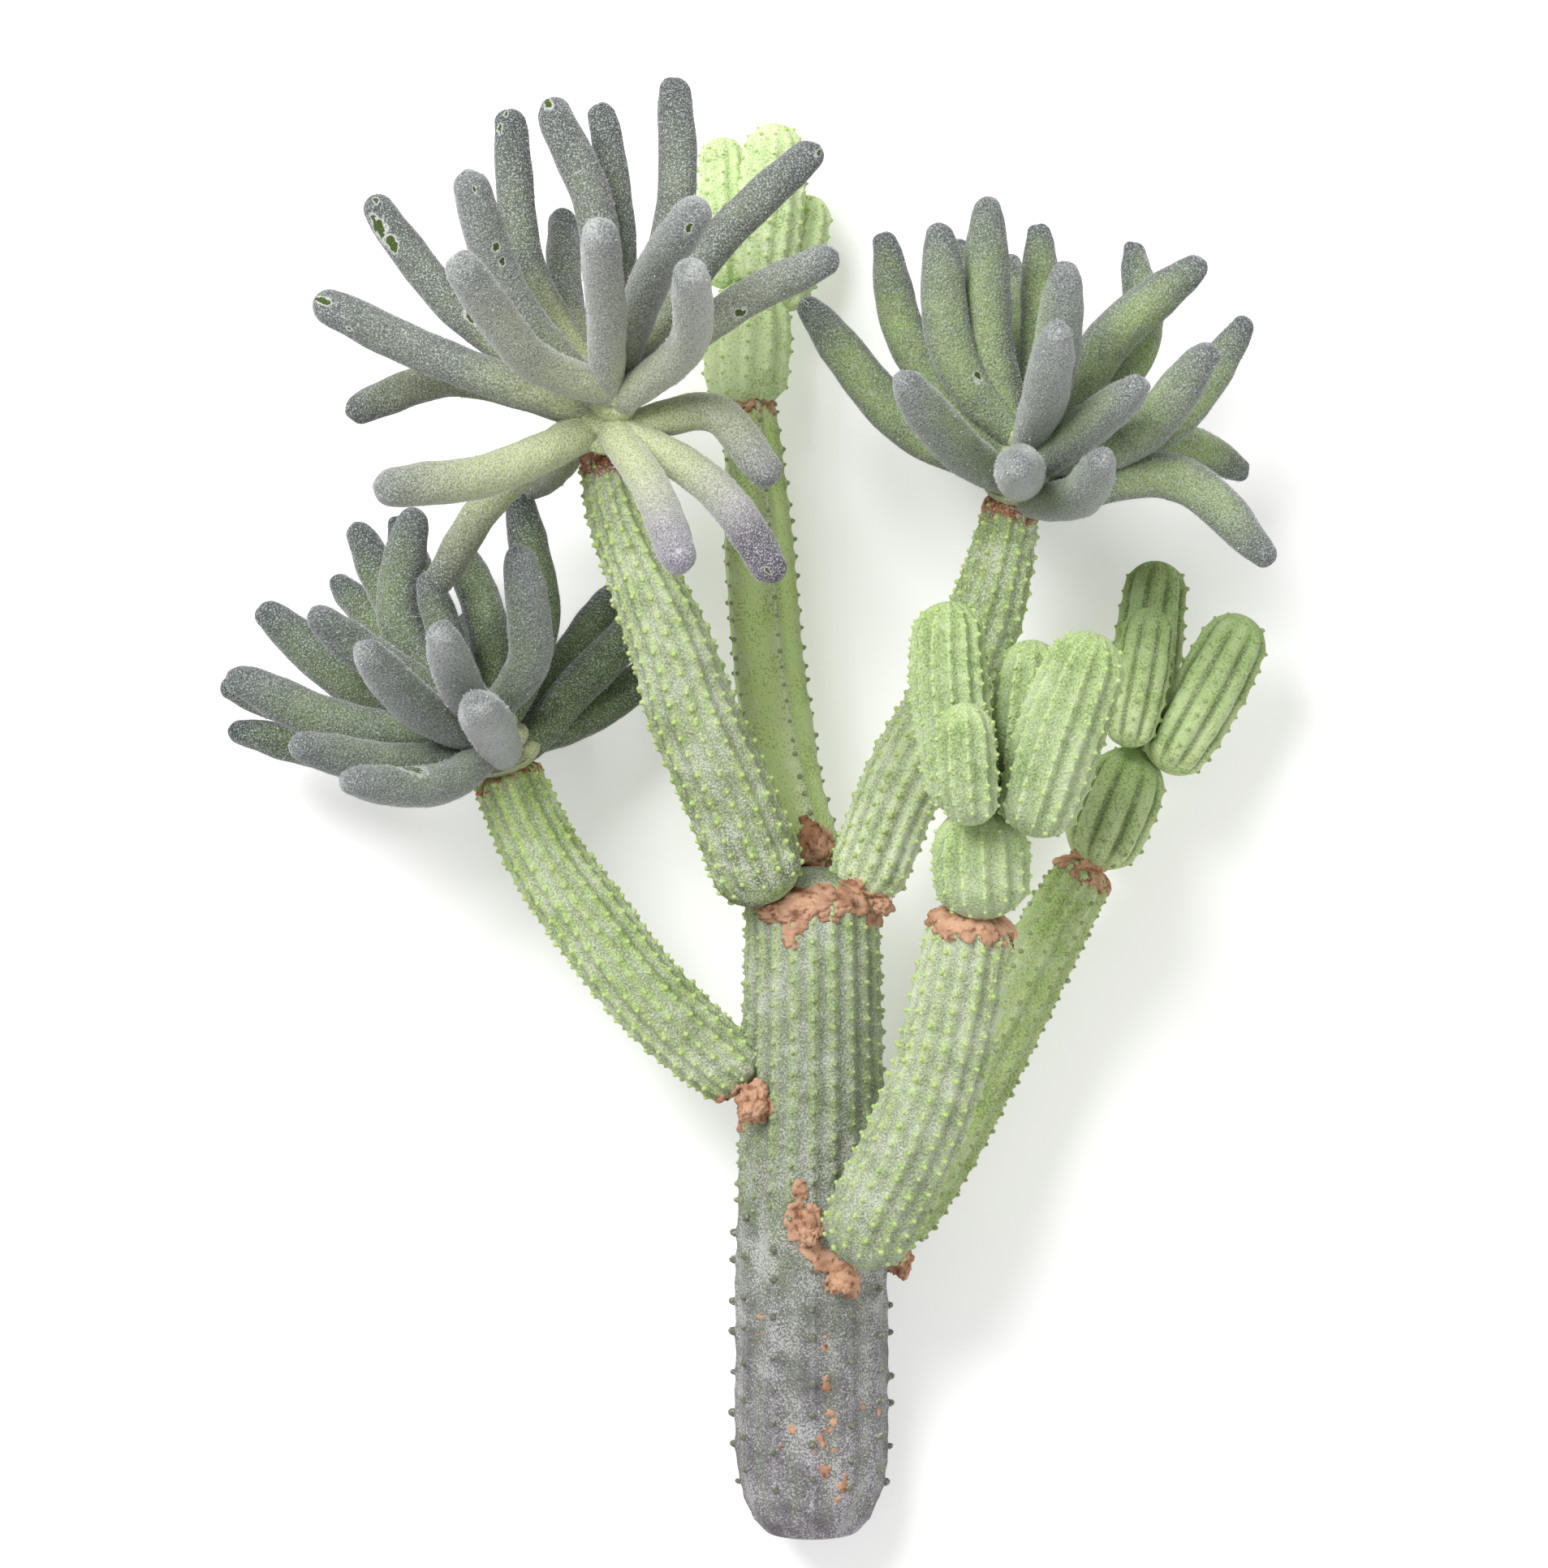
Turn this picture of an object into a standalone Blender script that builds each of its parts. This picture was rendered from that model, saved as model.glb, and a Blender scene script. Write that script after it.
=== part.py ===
"""Artificial branched cactus, no pot, lying on its back.

A ribbed trunk carries six ribbed arms. Three arms end in a rosette of finger leaves,
moulded as four stacked whorls each, and three end in a cluster of small cactus
segments. Every joint is filled with a lump of brown putty. Lengths are written in
millimetres and built in metres. +Y runs up the trunk, +Z is up from the surface.
"""
import math

import bpy
from mathutils import Vector

MM = 0.001
GAP = 0.3            # clearance between touching pieces
ROOT_RADIUS = 2.2    # a leaf where it leaves its whorl's hub
CAP_STEP = 0.3       # where a round end has its one ring between tip and full width
SLAB_PITCH = 4.7     # distance between stacked whorls
SLAB_THICKNESS = 4.3
HUB_RADII = (6.0, 5.2, 4.6, 4.0)       # lowest whorl first
LEAF_TURN_OUT = (8.0, 7.0, 6.0, 3.0)   # how far a leaf runs flat before it bends away

for old in list(bpy.data.objects):
    bpy.data.objects.remove(old, do_unlink=True)

MATERIAL_LOOKS = {
    "trunk_foam": ((0.33, 0.40, 0.27), 0.85),
    "arm_foam": ((0.42, 0.54, 0.27), 0.8),
    "segment_foam": ((0.44, 0.58, 0.26), 0.8),
    "leaf_flock": ((0.34, 0.40, 0.31), 0.95),
    "joint_putty": ((0.58, 0.35, 0.23), 0.9),
}


def foam_material(name, look):
    color, roughness = MATERIAL_LOOKS[look]
    material = bpy.data.materials.new(name + "_finish")
    material.use_nodes = True
    shader = material.node_tree.nodes["Principled BSDF"]
    shader.inputs["Base Color"].default_value = (*color, 1.0)
    shader.inputs["Roughness"].default_value = roughness
    shader.inputs["Metallic"].default_value = 0.0
    return material


# ---------------------------------------------------------------- shapes
def spline_point(before, start, end, after, t):
    """A point on the Catmull-Rom curve between start and end."""
    return 0.5 * (
        2.0 * start
        + (end - before) * t
        + (2.0 * before - 5.0 * start + 4.0 * end - after) * t * t
        + (3.0 * start - 3.0 * end + after - before) * t ** 3
    )


def smooth_path(points, fractions):
    """Points at the given fractions of the length of a smooth curve through points."""
    knots = [Vector(p) for p in points]
    knots = [2 * knots[0] - knots[1]] + knots + [2 * knots[-1] - knots[-2]]
    dense = []
    for i in range(1, len(knots) - 2):
        for step in range(12):
            dense.append(spline_point(*knots[i - 1:i + 3], step / 12))
    dense.append(knots[-2])
    reach = [0.0]
    for a, b in zip(dense, dense[1:]):
        reach.append(reach[-1] + (b - a).length)
    path = []
    k = 0
    for fraction in fractions:
        target = fraction * reach[-1]
        while k < len(dense) - 2 and reach[k + 1] < target:
            k += 1
        span = max(reach[k + 1] - reach[k], 1e-9)
        path.append(dense[k].lerp(dense[k + 1], (target - reach[k]) / span))
    return path, reach[-1]


def read_profile(profile, fraction):
    """Radius at a fraction of the length, from (fraction, radius) pairs."""
    for (f0, r0), (f1, r1) in zip(profile, profile[1:]):
        if fraction <= f1:
            return r0 + (r1 - r0) * (fraction - f0) / (f1 - f0)
    return profile[-1][1]


def tube_mesh(points, profile, sides, rings, groove=0.0, grow=0.0, caps=(1.0, 1.0)):
    """A closed round-ended tube; groove lowers every second edge to make ribs."""
    _, length = smooth_path(points, [0.0, 1.0])
    first = caps[0] * read_profile(profile, 0.0) / length
    last = caps[1] * read_profile(profile, 1.0) / length
    fractions = [0.0, CAP_STEP * first]
    for i in range(rings):
        fractions.append(first + (1.0 - first - last) * i / (rings - 1))
    fractions += [1.0 - CAP_STEP * last, 1.0]
    path, length = smooth_path(points, fractions)
    verts = []
    side = Vector((0.0, 0.0, 1.0))
    for i, fraction in enumerate(fractions):
        ahead = path[min(i + 1, len(path) - 1)]
        behind = path[max(i - 1, 0)]
        along = (ahead - behind).normalized()
        side = (side - along * side.dot(along)).normalized()
        across = along.cross(side)
        end = 1.0
        if fraction < first:
            end = math.sqrt(max(0.0, 1.0 - (1.0 - fraction / first) ** 2))
        if 1.0 - fraction < last:
            end = math.sqrt(max(0.0, 1.0 - (1.0 - (1.0 - fraction) / last) ** 2))
        if i in (0, len(fractions) - 1):
            push = along * (grow if i else -grow)
            verts.append(path[i] + push)
            continue
        radius = read_profile(profile, fraction) * end + grow
        for k in range(sides):
            angle = 2.0 * math.pi * k / sides
            r = radius - (groove * end if k % 2 else 0.0)
            verts.append(path[i] + side * (r * math.cos(angle)) + across * (r * math.sin(angle)))
    faces = []
    ring_count = len(fractions) - 2
    tip = len(verts) - 1
    for k in range(sides):
        n = (k + 1) % sides
        faces.append((0, 1 + n, 1 + k))
        for ring in range(ring_count - 1):
            a = 1 + ring * sides
            b = a + sides
            faces.append((a + k, a + n, b + n, b + k))
        last_ring = 1 + (ring_count - 1) * sides
        faces.append((last_ring + k, last_ring + n, tip))
    return verts, faces


def lump_mesh(center, size, along, seed, grow=0.0, rows=5, sides=10):
    """A closed uneven ball of putty, stretched along a direction."""
    axis = Vector(along).normalized()
    side = axis.orthogonal().normalized()
    across = axis.cross(side)
    sx, sy, sz = size
    verts = [Vector(center) - axis * (sz + grow)]
    for row in range(1, rows):
        polar = math.pi * row / rows
        for k in range(sides):
            angle = 2.0 * math.pi * k / sides
            bump = 1.0 + 0.09 * math.sin(3.0 * angle + seed) * math.sin(2.0 * polar + 1.7 * seed)
            r = math.sin(polar) * bump
            verts.append(
                Vector(center)
                - axis * (math.cos(polar) * (sz * bump + grow))
                + side * (r * math.cos(angle) * (sx + grow))
                + across * (r * math.sin(angle) * (sy + grow))
            )
    verts.append(Vector(center) + axis * (sz + grow))
    faces = []
    tip = len(verts) - 1
    for k in range(sides):
        n = (k + 1) % sides
        faces.append((0, 1 + n, 1 + k))
        for row in range(rows - 2):
            a = 1 + row * sides
            b = a + sides
            faces.append((a + k, a + n, b + n, b + k))
        last_ring = 1 + (rows - 2) * sides
        faces.append((last_ring + k, last_ring + n, tip))
    return verts, faces


def add_object(name, parts, look=None):
    """One object from (verts, faces) parts; without a look it is a hidden cutter."""
    verts = []
    faces = []
    for part_verts, part_faces in parts:
        start = len(verts)
        verts.extend(v * MM for v in part_verts)
        faces.extend(tuple(start + i for i in face) for face in part_faces)
    mesh = bpy.data.meshes.new(name)
    mesh.from_pydata([tuple(v) for v in verts], [], faces)
    mesh.update()
    mesh.shade_smooth()
    piece = bpy.data.objects.new(name, mesh)
    bpy.context.scene.collection.objects.link(piece)
    if look:
        mesh.materials.append(foam_material(name, look))
    else:
        piece.hide_render = True
        piece.display_type = "WIRE"
    return piece


def cut(piece, cutters, self_crossing=False):
    """Leave the clearance gap between a piece and its neighbours."""
    for cutter in cutters:
        boolean = piece.modifiers.new("seat_" + cutter.name, "BOOLEAN")
        boolean.operation = "DIFFERENCE"
        boolean.solver = "EXACT"
        boolean.use_self = self_crossing
        boolean.object = cutter


# ---------------------------------------------------------------- trunk and arms
# name: centre line from the trunk outwards, radius profile, ribs, groove depth, rings
TRUNK = dict(
    line=[(16.5, -180.5, 18.3), (16.5, -150, 19.5), (16.4, -119, 26), (16.4, -88, 32.5),
          (16.6, -58, 39), (16.5, -38, 43), (16.3, -15, 47)],
    profile=[(0.0, 15.5), (0.08, 18.6), (0.16, 19.3), (0.4, 19.0), (0.7, 17.4), (1.0, 16.2)],
    ribs=12, groove=1.2, rings=7, caps=(0.85, 0.5),
)
ARMS = {
    "arm_left": dict(
        line=[(1.0, -65, 42), (-14.8, -52, 46), (-27.7, -38.5, 49), (-39.7, -22.5, 51),
              (-50.6, -6.5, 53), (-58.6, 11.0, 54.0)],
        profile=[(0.0, 8.8), (0.25, 9.9), (0.6, 10.0), (1.0, 8.4)],
        ribs=12, groove=0.8, rings=5, caps=(0.8, 0.6)),
    "arm_tall": dict(
        line=[(6.3, -20, 62), (1.0, -6.5, 62), (-5.6, 10.5, 65), (-12.8, 26.3, 69),
              (-17.7, 42, 74), (-24.1, 57.5, 78), (-31.2, 75, 82), (-34.2, 88.5, 86)],
        profile=[(0.0, 11.3), (0.4, 11.0), (0.6, 9.7), (0.8, 7.3), (1.0, 4.8)],
        ribs=12, groove=0.8, rings=5, caps=(0.9, 0.4)),
    "arm_back": dict(
        line=[(16.4, -12.5, 33.5), (13.4, -1.6, 34), (9.3, 12.5, 32), (5.9, 33, 28),
              (3.8, 53.3, 25), (2.4, 73.7, 23), (0.6, 104.5, 21)],
        profile=[(0.0, 7.6), (0.3, 9.0), (0.7, 8.8), (1.0, 6.4)],
        ribs=8, groove=1.2, rings=6, caps=(0.8, 0.5)),
    "arm_right": dict(
        line=[(28.7, -16, 49), (31.3, -9.5, 48), (35.9, 2.5, 48), (42.3, 16.5, 49),
              (51.3, 32.5, 50), (58.8, 50.4, 52), (63.2, 66.4, 53), (65.6, 77.5, 53.8)],
        profile=[(0.0, 9.4), (0.3, 10.0), (0.7, 9.4), (1.0, 6.3)],
        ribs=12, groove=0.8, rings=5, caps=(0.9, 0.5)),
    "arm_low_front": dict(
        line=[(26.4, -108.5, 58), (33.1, -93.2, 60), (40.0, -79.6, 64), (44.8, -67.4, 69),
              (48.2, -56.4, 73), (51.0, -44.4, 77), (53.3, -31.6, 81), (55.2, -20.5, 84)],
        profile=[(0.0, 11.2), (0.3, 11.7), (0.8, 11.2), (1.0, 9.7)],
        ribs=14, groove=0.8, rings=5, caps=(0.9, 0.5)),
    "arm_low_back": dict(
        line=[(34.5, -104, 27), (43.0, -92.5, 24), (50.2, -80.3, 22), (57.3, -67, 21),
              (64.5, -52.8, 21), (71.6, -38.4, 22), (78.7, -24.1, 23), (86.4, -10.5, 24)],
        profile=[(0.0, 8.8), (0.3, 9.2), (0.8, 8.8), (1.0, 7.4)],
        ribs=9, groove=0.9, rings=6, caps=(0.9, 0.5)),
}


def stem_mesh(stem, grow=0.0):
    groove = 0.0 if grow else stem["groove"]
    return tube_mesh(stem["line"], stem["profile"], 2 * stem["ribs"], stem["rings"],
                     groove, grow, stem["caps"])


def stem_cutter(name, stem):
    return add_object(name + "_clearance", [stem_mesh(stem, GAP)])


arm_cutters = {name: stem_cutter(name, arm) for name, arm in ARMS.items()}
trunk_cutter = stem_cutter("trunk", TRUNK)
trunk = add_object("trunk", [stem_mesh(TRUNK)], "trunk_foam")
cut(trunk, arm_cutters.values())
arms = {}
for arm_name, arm in ARMS.items():
    arms[arm_name] = add_object(arm_name, [stem_mesh(arm)], "arm_foam")
cut(arms["arm_right"], [arm_cutters["arm_back"]])

# ---------------------------------------------------------------- clusters
# Each segment is a short ribbed barrel: centre line from its root to its top, radius.
CLUSTERS = {
    "front_cluster": {
        "base": ([(57.4, -21.5, 86), (56.6, -9, 89), (56.0, 4.5, 91)], 11.8),
        "tall": ([(52.6, 2.5, 95), (49.0, 32, 92), (48.7, 53, 91)], 9.6),
        "small": ([(54.0, -0.5, 107), (52.6, 13, 109), (51.9, 28.5, 111)], 7.2),
        "rear": ([(65.0, 1.5, 87), (67.5, 22, 84), (69.5, 44, 83)], 8.8),
        "wide": ([(67.5, -3.0, 99), (75.0, 21.5, 103), (83.5, 45, 106)], 10.6),
    },
    "side_cluster": {
        "base": ([(88.5, -7.5, 24), (93.5, 5, 25.5), (98.5, 18, 27)], 10.2),
        "top": ([(99.0, 17, 20), (101.0, 42, 19), (104.0, 63.5, 18)], 8.6),
        "front": ([(94.5, 18.5, 37), (98.0, 36, 39), (100.8, 52.5, 40)], 7.0),
        "outer": ([(104.0, 12.5, 31), (114.5, 31, 32), (125.2, 51, 33)], 9.1),
    },
    "back_cluster": {
        "base": ([(-0.8, 106.5, 21), (0.4, 121, 21), (0.6, 136, 21)], 11.0),
        "left": ([(-4.6, 134, 18), (-5.6, 153, 17.5), (-6.0, 172.5, 17)], 6.6),
        "middle": ([(4.3, 133.5, 27), (6.2, 154, 28.5), (7.5, 174.5, 30)], 8.5),
        "right": ([(8.8, 128.5, 20), (13.5, 143, 20), (16.5, 157.5, 20)], 6.2),
    },
}
CLUSTER_ARM = {
    "front_cluster": "arm_low_front",
    "side_cluster": "arm_low_back",
    "back_cluster": "arm_back",
}
SEGMENT_SHAPE = [(0.0, 0.82), (0.3, 0.98), (0.6, 1.0), (1.0, 0.86)]
SEGMENT_RIBS = 8
SEGMENT_GROOVE = 0.07    # of the segment's radius


def segment_mesh(line, radius, grow=0.0):
    profile = [(fraction, share * radius) for fraction, share in SEGMENT_SHAPE]
    groove = 0.0 if grow else SEGMENT_GROOVE * radius
    return tube_mesh(line, profile, 2 * SEGMENT_RIBS, 3, groove, grow)


base_cutters = {}
for cluster, segments in CLUSTERS.items():
    earlier = [arm_cutters[CLUSTER_ARM[cluster]]]
    for segment, (line, radius) in segments.items():
        name = cluster + "_" + segment
        piece = add_object(name, [segment_mesh(line, radius)], "segment_foam")
        cut(piece, earlier)
        cutter = add_object(name + "_clearance", [segment_mesh(line, radius, GAP)])
        if segment == "base":
            base_cutters[cluster] = cutter
            earlier = []
        earlier.append(cutter)

# ---------------------------------------------------------------- rosettes
# Each leaf: its middle and its tip from the rosette's hub, and its width.
ROSETTES = {
    "tall_rosette": dict(hub=(-32, 99, 97), axis=(0.30, 0.64, 0.71), arm="arm_tall", whorls=[
        [((-12, -10, -28), (-21, -16, -55), 9.0), ((-30, -23, -10), (-43, -43, -20), 8.6),
         ((-8, -2, -32), (-12, -8, -64), 8.6), ((-38, 8, -17), (-65, 1, -34), 9.0),
         ((4, 11, -33), (6, 19, -66), 8.6), ((-29, -17, 15), (-54, -21, 30), 10.4)],
        [((-11, 26, -23), (-13, 51, -46), 8.6), ((-37, 10, 4), (-70, 25, 8), 10.0),
         ((-37, 24, -5), (-58, 51, -10), 9.0), ((25, -20, 14), (40, -42, 28), 9.6),
         ((10, -20, 20), (18, -40, 40), 9.6), ((25, -2, 7), (39, -19, 14), 9.4)],
        [((-20, 34, -9), (-25, 73, -18), 9.2), ((2, 40, -11), (-3, 75, -22), 8.2),
         ((-3, 44, -2), (-15, 74, -4), 9.8), ((15, 46, -6), (15, 80, -12), 9.4),
         ((-23, 25, 15), (-33, 53, 30), 10.0), ((25, 39, -3), (50, 63, -6), 9.4)],
        [((-18, 10, 26), (-34, 31, 52), 10.0), ((29, 23, 9), (54, 35, 18), 9.0),
         ((0, 19, 29), (-1, 38, 58), 9.6), ((19, 13, 31), (20, 28, 62), 9.6),
         ((10, 28, 23), (22, 44, 46), 10.0)],
    ]),
    "right_rosette": dict(hub=(68, 88, 57), axis=(0.12, 0.90, 0.40), arm="arm_right", whorls=[
        [((1, -5, -27), (2, -9, -56.5), 9.4), ((9, 1, -27), (19, 5, -56.5), 9.6),
         ((-5, 5, -27), (-12, 14, -56.5), 9.6), ((37, -4, 8), (60, -25, 15), 10.6),
         ((37, 6, -21), (58, 0, -42), 9.8), ((13, -9, 25), (17, -1, 50), 10.0)],
        [((-29, 10, -4), (-54, 41, -8), 10.6), ((-2, -4, 31), (-4, -4, 62), 11.4),
         ((-1, 26, -25), (-1, 55, -49), 9.6), ((36, 10, -3), (56, 36, -6), 9.8),
         ((-18, 4, 22), (-31, 18, 45), 10.8), ((-11, 28, -18), (-15, 58, -36), 9.6)],
        [((-27, 29, -8), (-34, 58, -16), 10.0), ((29, 29, -16), (29, 57, -32), 9.6),
         ((27, 6, 12), (45, 27, 24), 10.8), ((14, 7, 20), (27, 17, 40), 10.0),
         ((5, 31, -13), (5, 61, -26), 9.8), ((22, 31, -2), (45, 50, -4), 11.0)],
        [((4, 14, 27), (6, 29, 54), 10.6), ((-17, 26, 5), (-21, 58, 10), 11.0),
         ((-8, 30, 2), (-9, 65, 4), 11.0), ((7, 23, 17), (9, 46, 34), 10.6)],
    ]),
    "left_rosette": dict(hub=(-61, 22, 57), axis=(-0.32, 0.84, 0.40), arm="arm_left", whorls=[
        [((7, 2, -27), (14, 9, -56.5), 9.4), ((21, 4, -18), (43, 19, -36), 9.6),
         ((-11, 3, -27), (-25, 11, -56.5), 9.4), ((20, 12, -11), (40, 32, -22), 10.0),
         ((15, 14, -18), (29, 37, -36), 10.0), ((-4, 12, -26), (-10, 30, -52), 9.2)],
        [((-37, -5, -13), (-68, 1, -26), 9.4), ((-14, -13, 24), (-34, -12, 48), 9.8),
         ((-39, 3, -14), (-70, 12, -28), 9.6), ((-25, -8, 15), (-48, -3, 30), 10.2),
         ((-23, 20, -21), (-43, 39, -42), 9.4), ((0, 1, 30), (-2, 6, 60), 11.4)],
        [((-3, 26, -18), (-12, 49, -36), 10.0), ((-35, 1, 6), (-65, 14, 12), 11.0),
         ((-14, 24, -15), (-27, 54, -30), 9.4), ((-32, 10, -4), (-59, 31, -8), 11.0),
         ((10, 28, -9), (4, 61, -18), 10.0), ((-18, 6, 23), (-30, 20, 46), 10.4)],
        [((-7, 10, 27), (-11, 24, 54), 10.2), ((-22, 26, -7), (-36, 52, -14), 10.0),
         ((-25, 15, 11), (-44, 29, 22), 9.8), ((9, 19, 18), (7, 44, 36), 10.4),
         ((-23, 26, 2), (-20, 55, 4), 11.0), ((-10, 18, 5), (-17, 39, 10), 8.6)],
    ]),
}
LEAF_SIDES = 6
LEAF_RINGS = 4


def leaf_mesh(hub, axis, level, middle, tip, width, grow):
    """A finger leaf that starts inside its whorl's slab and bends away to its tip."""
    height = (level - 1.5) * SLAB_PITCH
    out = Vector(middle) - axis * height
    out = (out - axis * out.dot(axis)).normalized()
    root = hub + axis * height
    points = [root, root + out * LEAF_TURN_OUT[level], hub + Vector(middle), hub + Vector(tip)]
    half = width / 2
    profile = [(0.0, ROOT_RADIUS), (0.12, ROOT_RADIUS), (0.3, 0.82 * half), (0.6, half),
               (0.88, 0.94 * half), (1.0, 0.8 * half)]
    return tube_mesh(points, profile, LEAF_SIDES, LEAF_RINGS, 0.0, grow)


def hub_mesh(hub, axis, level, grow):
    """The flat disc that a whorl's leaves are moulded onto."""
    center = hub + axis * ((level - 1.5) * SLAB_PITCH)
    half = axis * (SLAB_THICKNESS / 2 + grow)
    side = axis.orthogonal().normalized()
    across = axis.cross(side)
    radius = HUB_RADII[level] + grow
    sides = 12
    verts = []
    for face_center in (center - half, center + half):
        for k in range(sides):
            angle = 2.0 * math.pi * k / sides
            verts.append(face_center + side * (radius * math.cos(angle))
                         + across * (radius * math.sin(angle)))
    faces = [tuple(reversed(range(sides))), tuple(range(sides, 2 * sides))]
    for k in range(sides):
        n = (k + 1) % sides
        faces.append((k, n, sides + n, sides + k))
    return verts, faces


hub_cutters = {}
for rosette_name, rosette in ROSETTES.items():
    hub = Vector(rosette["hub"])
    axis = Vector(rosette["axis"]).normalized()
    whorl_cutters = [arm_cutters[rosette["arm"]]]
    for level, leaves in enumerate(rosette["whorls"]):
        name = rosette_name + "_whorl_" + str(level + 1)
        parts = [leaf_mesh(hub, axis, level, *leaf, 0.0) for leaf in leaves]
        whorl = add_object(name, parts, "leaf_flock")
        disc = add_object(name + "_hub", [hub_mesh(hub, axis, level, 0.0)])
        join = whorl.modifiers.new("hub", "BOOLEAN")
        join.operation = "UNION"
        join.solver = "EXACT"
        join.use_self = True
        join.object = disc
        cut(whorl, whorl_cutters, self_crossing=True)
        grown = [leaf_mesh(hub, axis, level, *leaf, GAP) for leaf in leaves]
        grown.append(hub_mesh(hub, axis, level, GAP))
        cutter = add_object(name + "_clearance", grown)
        if level == 0:
            hub_cutters[rosette_name] = cutter
        whorl_cutters.append(cutter)

# ---------------------------------------------------------------- joint putty
# Each foot lump: centre, half sizes, long direction, the arms that it is pressed against
# and the lumps that were put on before it.
FEET = {
    "putty_arm_left_foot": ((2.5, -69.5, 50), (6.5, 6.5, 7), (0.7, -0.7, 0), ["arm_left"], []),
    "putty_arm_tall_foot": ((14.0, -21.5, 58), (6.5, 6, 14), (1, 0.1, 0),
                            ["arm_tall", "arm_right"], []),
    "putty_arm_right_foot": ((33.0, -20.5, 52), (6, 6, 7), (1, 0.6, 0.1),
                             ["arm_right"], ["putty_arm_tall_foot"]),
    "putty_arm_back_foot": ((18.0, -7.0, 39), (5, 5, 7), (0.2, 1, 0),
                            ["arm_back", "arm_right", "arm_tall"], []),
    "putty_arm_low_front_foot": ((16.0, -99.0, 50), (6, 6, 10), (0.2, 1, 0),
                                 ["arm_low_front"], []),
    "putty_arm_low_front_heel": ((24.5, -113.5, 46), (6, 6, 7), (1, -0.5, 0),
                                 ["arm_low_front"], ["putty_arm_low_front_foot"]),
    "putty_arm_low_back_foot": ((36.0, -110.0, 26), (5, 5, 7), (1, -0.3, 0),
                                ["arm_low_back"], []),
}
# Each collar: centre, radius, half length, direction, the arm it tops and what sits on it.
COLLARS = {
    "putty_front_cluster": ((56.3, -21.0, 85), 11.2, 6.0, (0.0, 1, 0.12),
                            "arm_low_front", "front_cluster"),
    "putty_side_cluster": ((87.4, -9.0, 24), 9.0, 5.5, (0.35, 1, 0.05),
                           "arm_low_back", "side_cluster"),
    "putty_back_cluster": ((-0.1, 105.5, 21), 8.0, 5.0, (0, 1, 0), "arm_back", "back_cluster"),
    "putty_tall_rosette": ((-34.4, 87.6, 85.4), 5.4, 4.2, (-0.1, 0.9, 0.35), "arm_tall", None),
    "putty_right_rosette": ((65.9, 78.0, 53.6), 6.4, 3.6, (0.2, 0.95, 0.1),
                            "arm_right", "right_rosette"),
    "putty_left_rosette": ((-58.6, 12.0, 53.6), 7.0, 3.8, (-0.4, 0.9, 0.2),
                           "arm_left", "left_rosette"),
}
seat_cutters = {**base_cutters, **hub_cutters}

foot_cutters = {}
for seed, (name, (center, size, along, pressed, beside)) in enumerate(FEET.items()):
    lump = add_object(name, [lump_mesh(center, size, along, seed)], "joint_putty")
    cut(lump, [trunk_cutter] + [arm_cutters[arm] for arm in pressed])
    cut(lump, [foot_cutters[foot] for foot in beside])
    foot_cutters[name] = add_object(name + "_clearance",
                                    [lump_mesh(center, size, along, seed, GAP)])

for seed, (name, (center, radius, length, along, arm, top)) in enumerate(COLLARS.items()):
    size = (radius, radius, length)
    lump = add_object(name, [lump_mesh(center, size, along, seed)], "joint_putty")
    cut(lump, [arm_cutters[arm]])
    if top:
        cut(lump, [seat_cutters[top]], self_crossing=top in ROSETTES)
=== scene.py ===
"""Looks of an artificial branched cactus that lies on its back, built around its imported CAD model.

The pieces follow the order of assembly: the trunk, its six arms, the clusters of small
segments, the rosettes of flocked finger leaves and the putty that holds the joints.
"""
import math

import bmesh
import bpy
import numpy as np
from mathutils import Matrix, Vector, noise


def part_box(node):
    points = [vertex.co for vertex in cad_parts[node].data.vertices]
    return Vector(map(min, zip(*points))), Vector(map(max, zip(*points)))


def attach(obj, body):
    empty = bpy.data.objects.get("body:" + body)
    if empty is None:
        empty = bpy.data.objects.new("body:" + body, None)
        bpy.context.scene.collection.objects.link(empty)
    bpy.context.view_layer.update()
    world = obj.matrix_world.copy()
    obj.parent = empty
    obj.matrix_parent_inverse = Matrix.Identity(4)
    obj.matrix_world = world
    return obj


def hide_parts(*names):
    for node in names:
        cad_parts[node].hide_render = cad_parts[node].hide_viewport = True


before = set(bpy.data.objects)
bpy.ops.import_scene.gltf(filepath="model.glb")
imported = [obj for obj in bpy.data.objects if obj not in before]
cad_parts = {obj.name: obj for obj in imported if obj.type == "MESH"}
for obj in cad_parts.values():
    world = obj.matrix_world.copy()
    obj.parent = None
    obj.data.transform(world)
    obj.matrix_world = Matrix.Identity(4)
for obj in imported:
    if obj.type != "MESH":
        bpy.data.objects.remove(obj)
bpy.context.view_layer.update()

# ================================================================ studio
# A pale table lit a little from within, under a large soft lamp and between bright walls.
# The camera hangs above it and looks straight down, because the cactus lies on its back.
CAMERA_PLACE = (0.0070, 0.0093, 1.45)     # m
LENS = 130.43                             # mm, on a 36 mm sensor
WALL_COLOR = (1.0, 0.99, 0.98, 1.0)
WALL_STRENGTH = 0.50
TABLE_SIZE = 6.0                          # m
TABLE_COLOR = (0.93, 0.93, 0.93, 1.0)
TABLE_GLOW = 0.26
LAMP_AIM = Vector((0.0, 0.0, 0.05))
LAMPS = {                                 # place in m, size in m, watts
    "key_lamp": ((-0.55, 0.75, 1.25), 0.8, 24.0),
    "fill_lamp": ((0.9, -0.6, 1.1), 1.2, 5.0),
}


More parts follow.
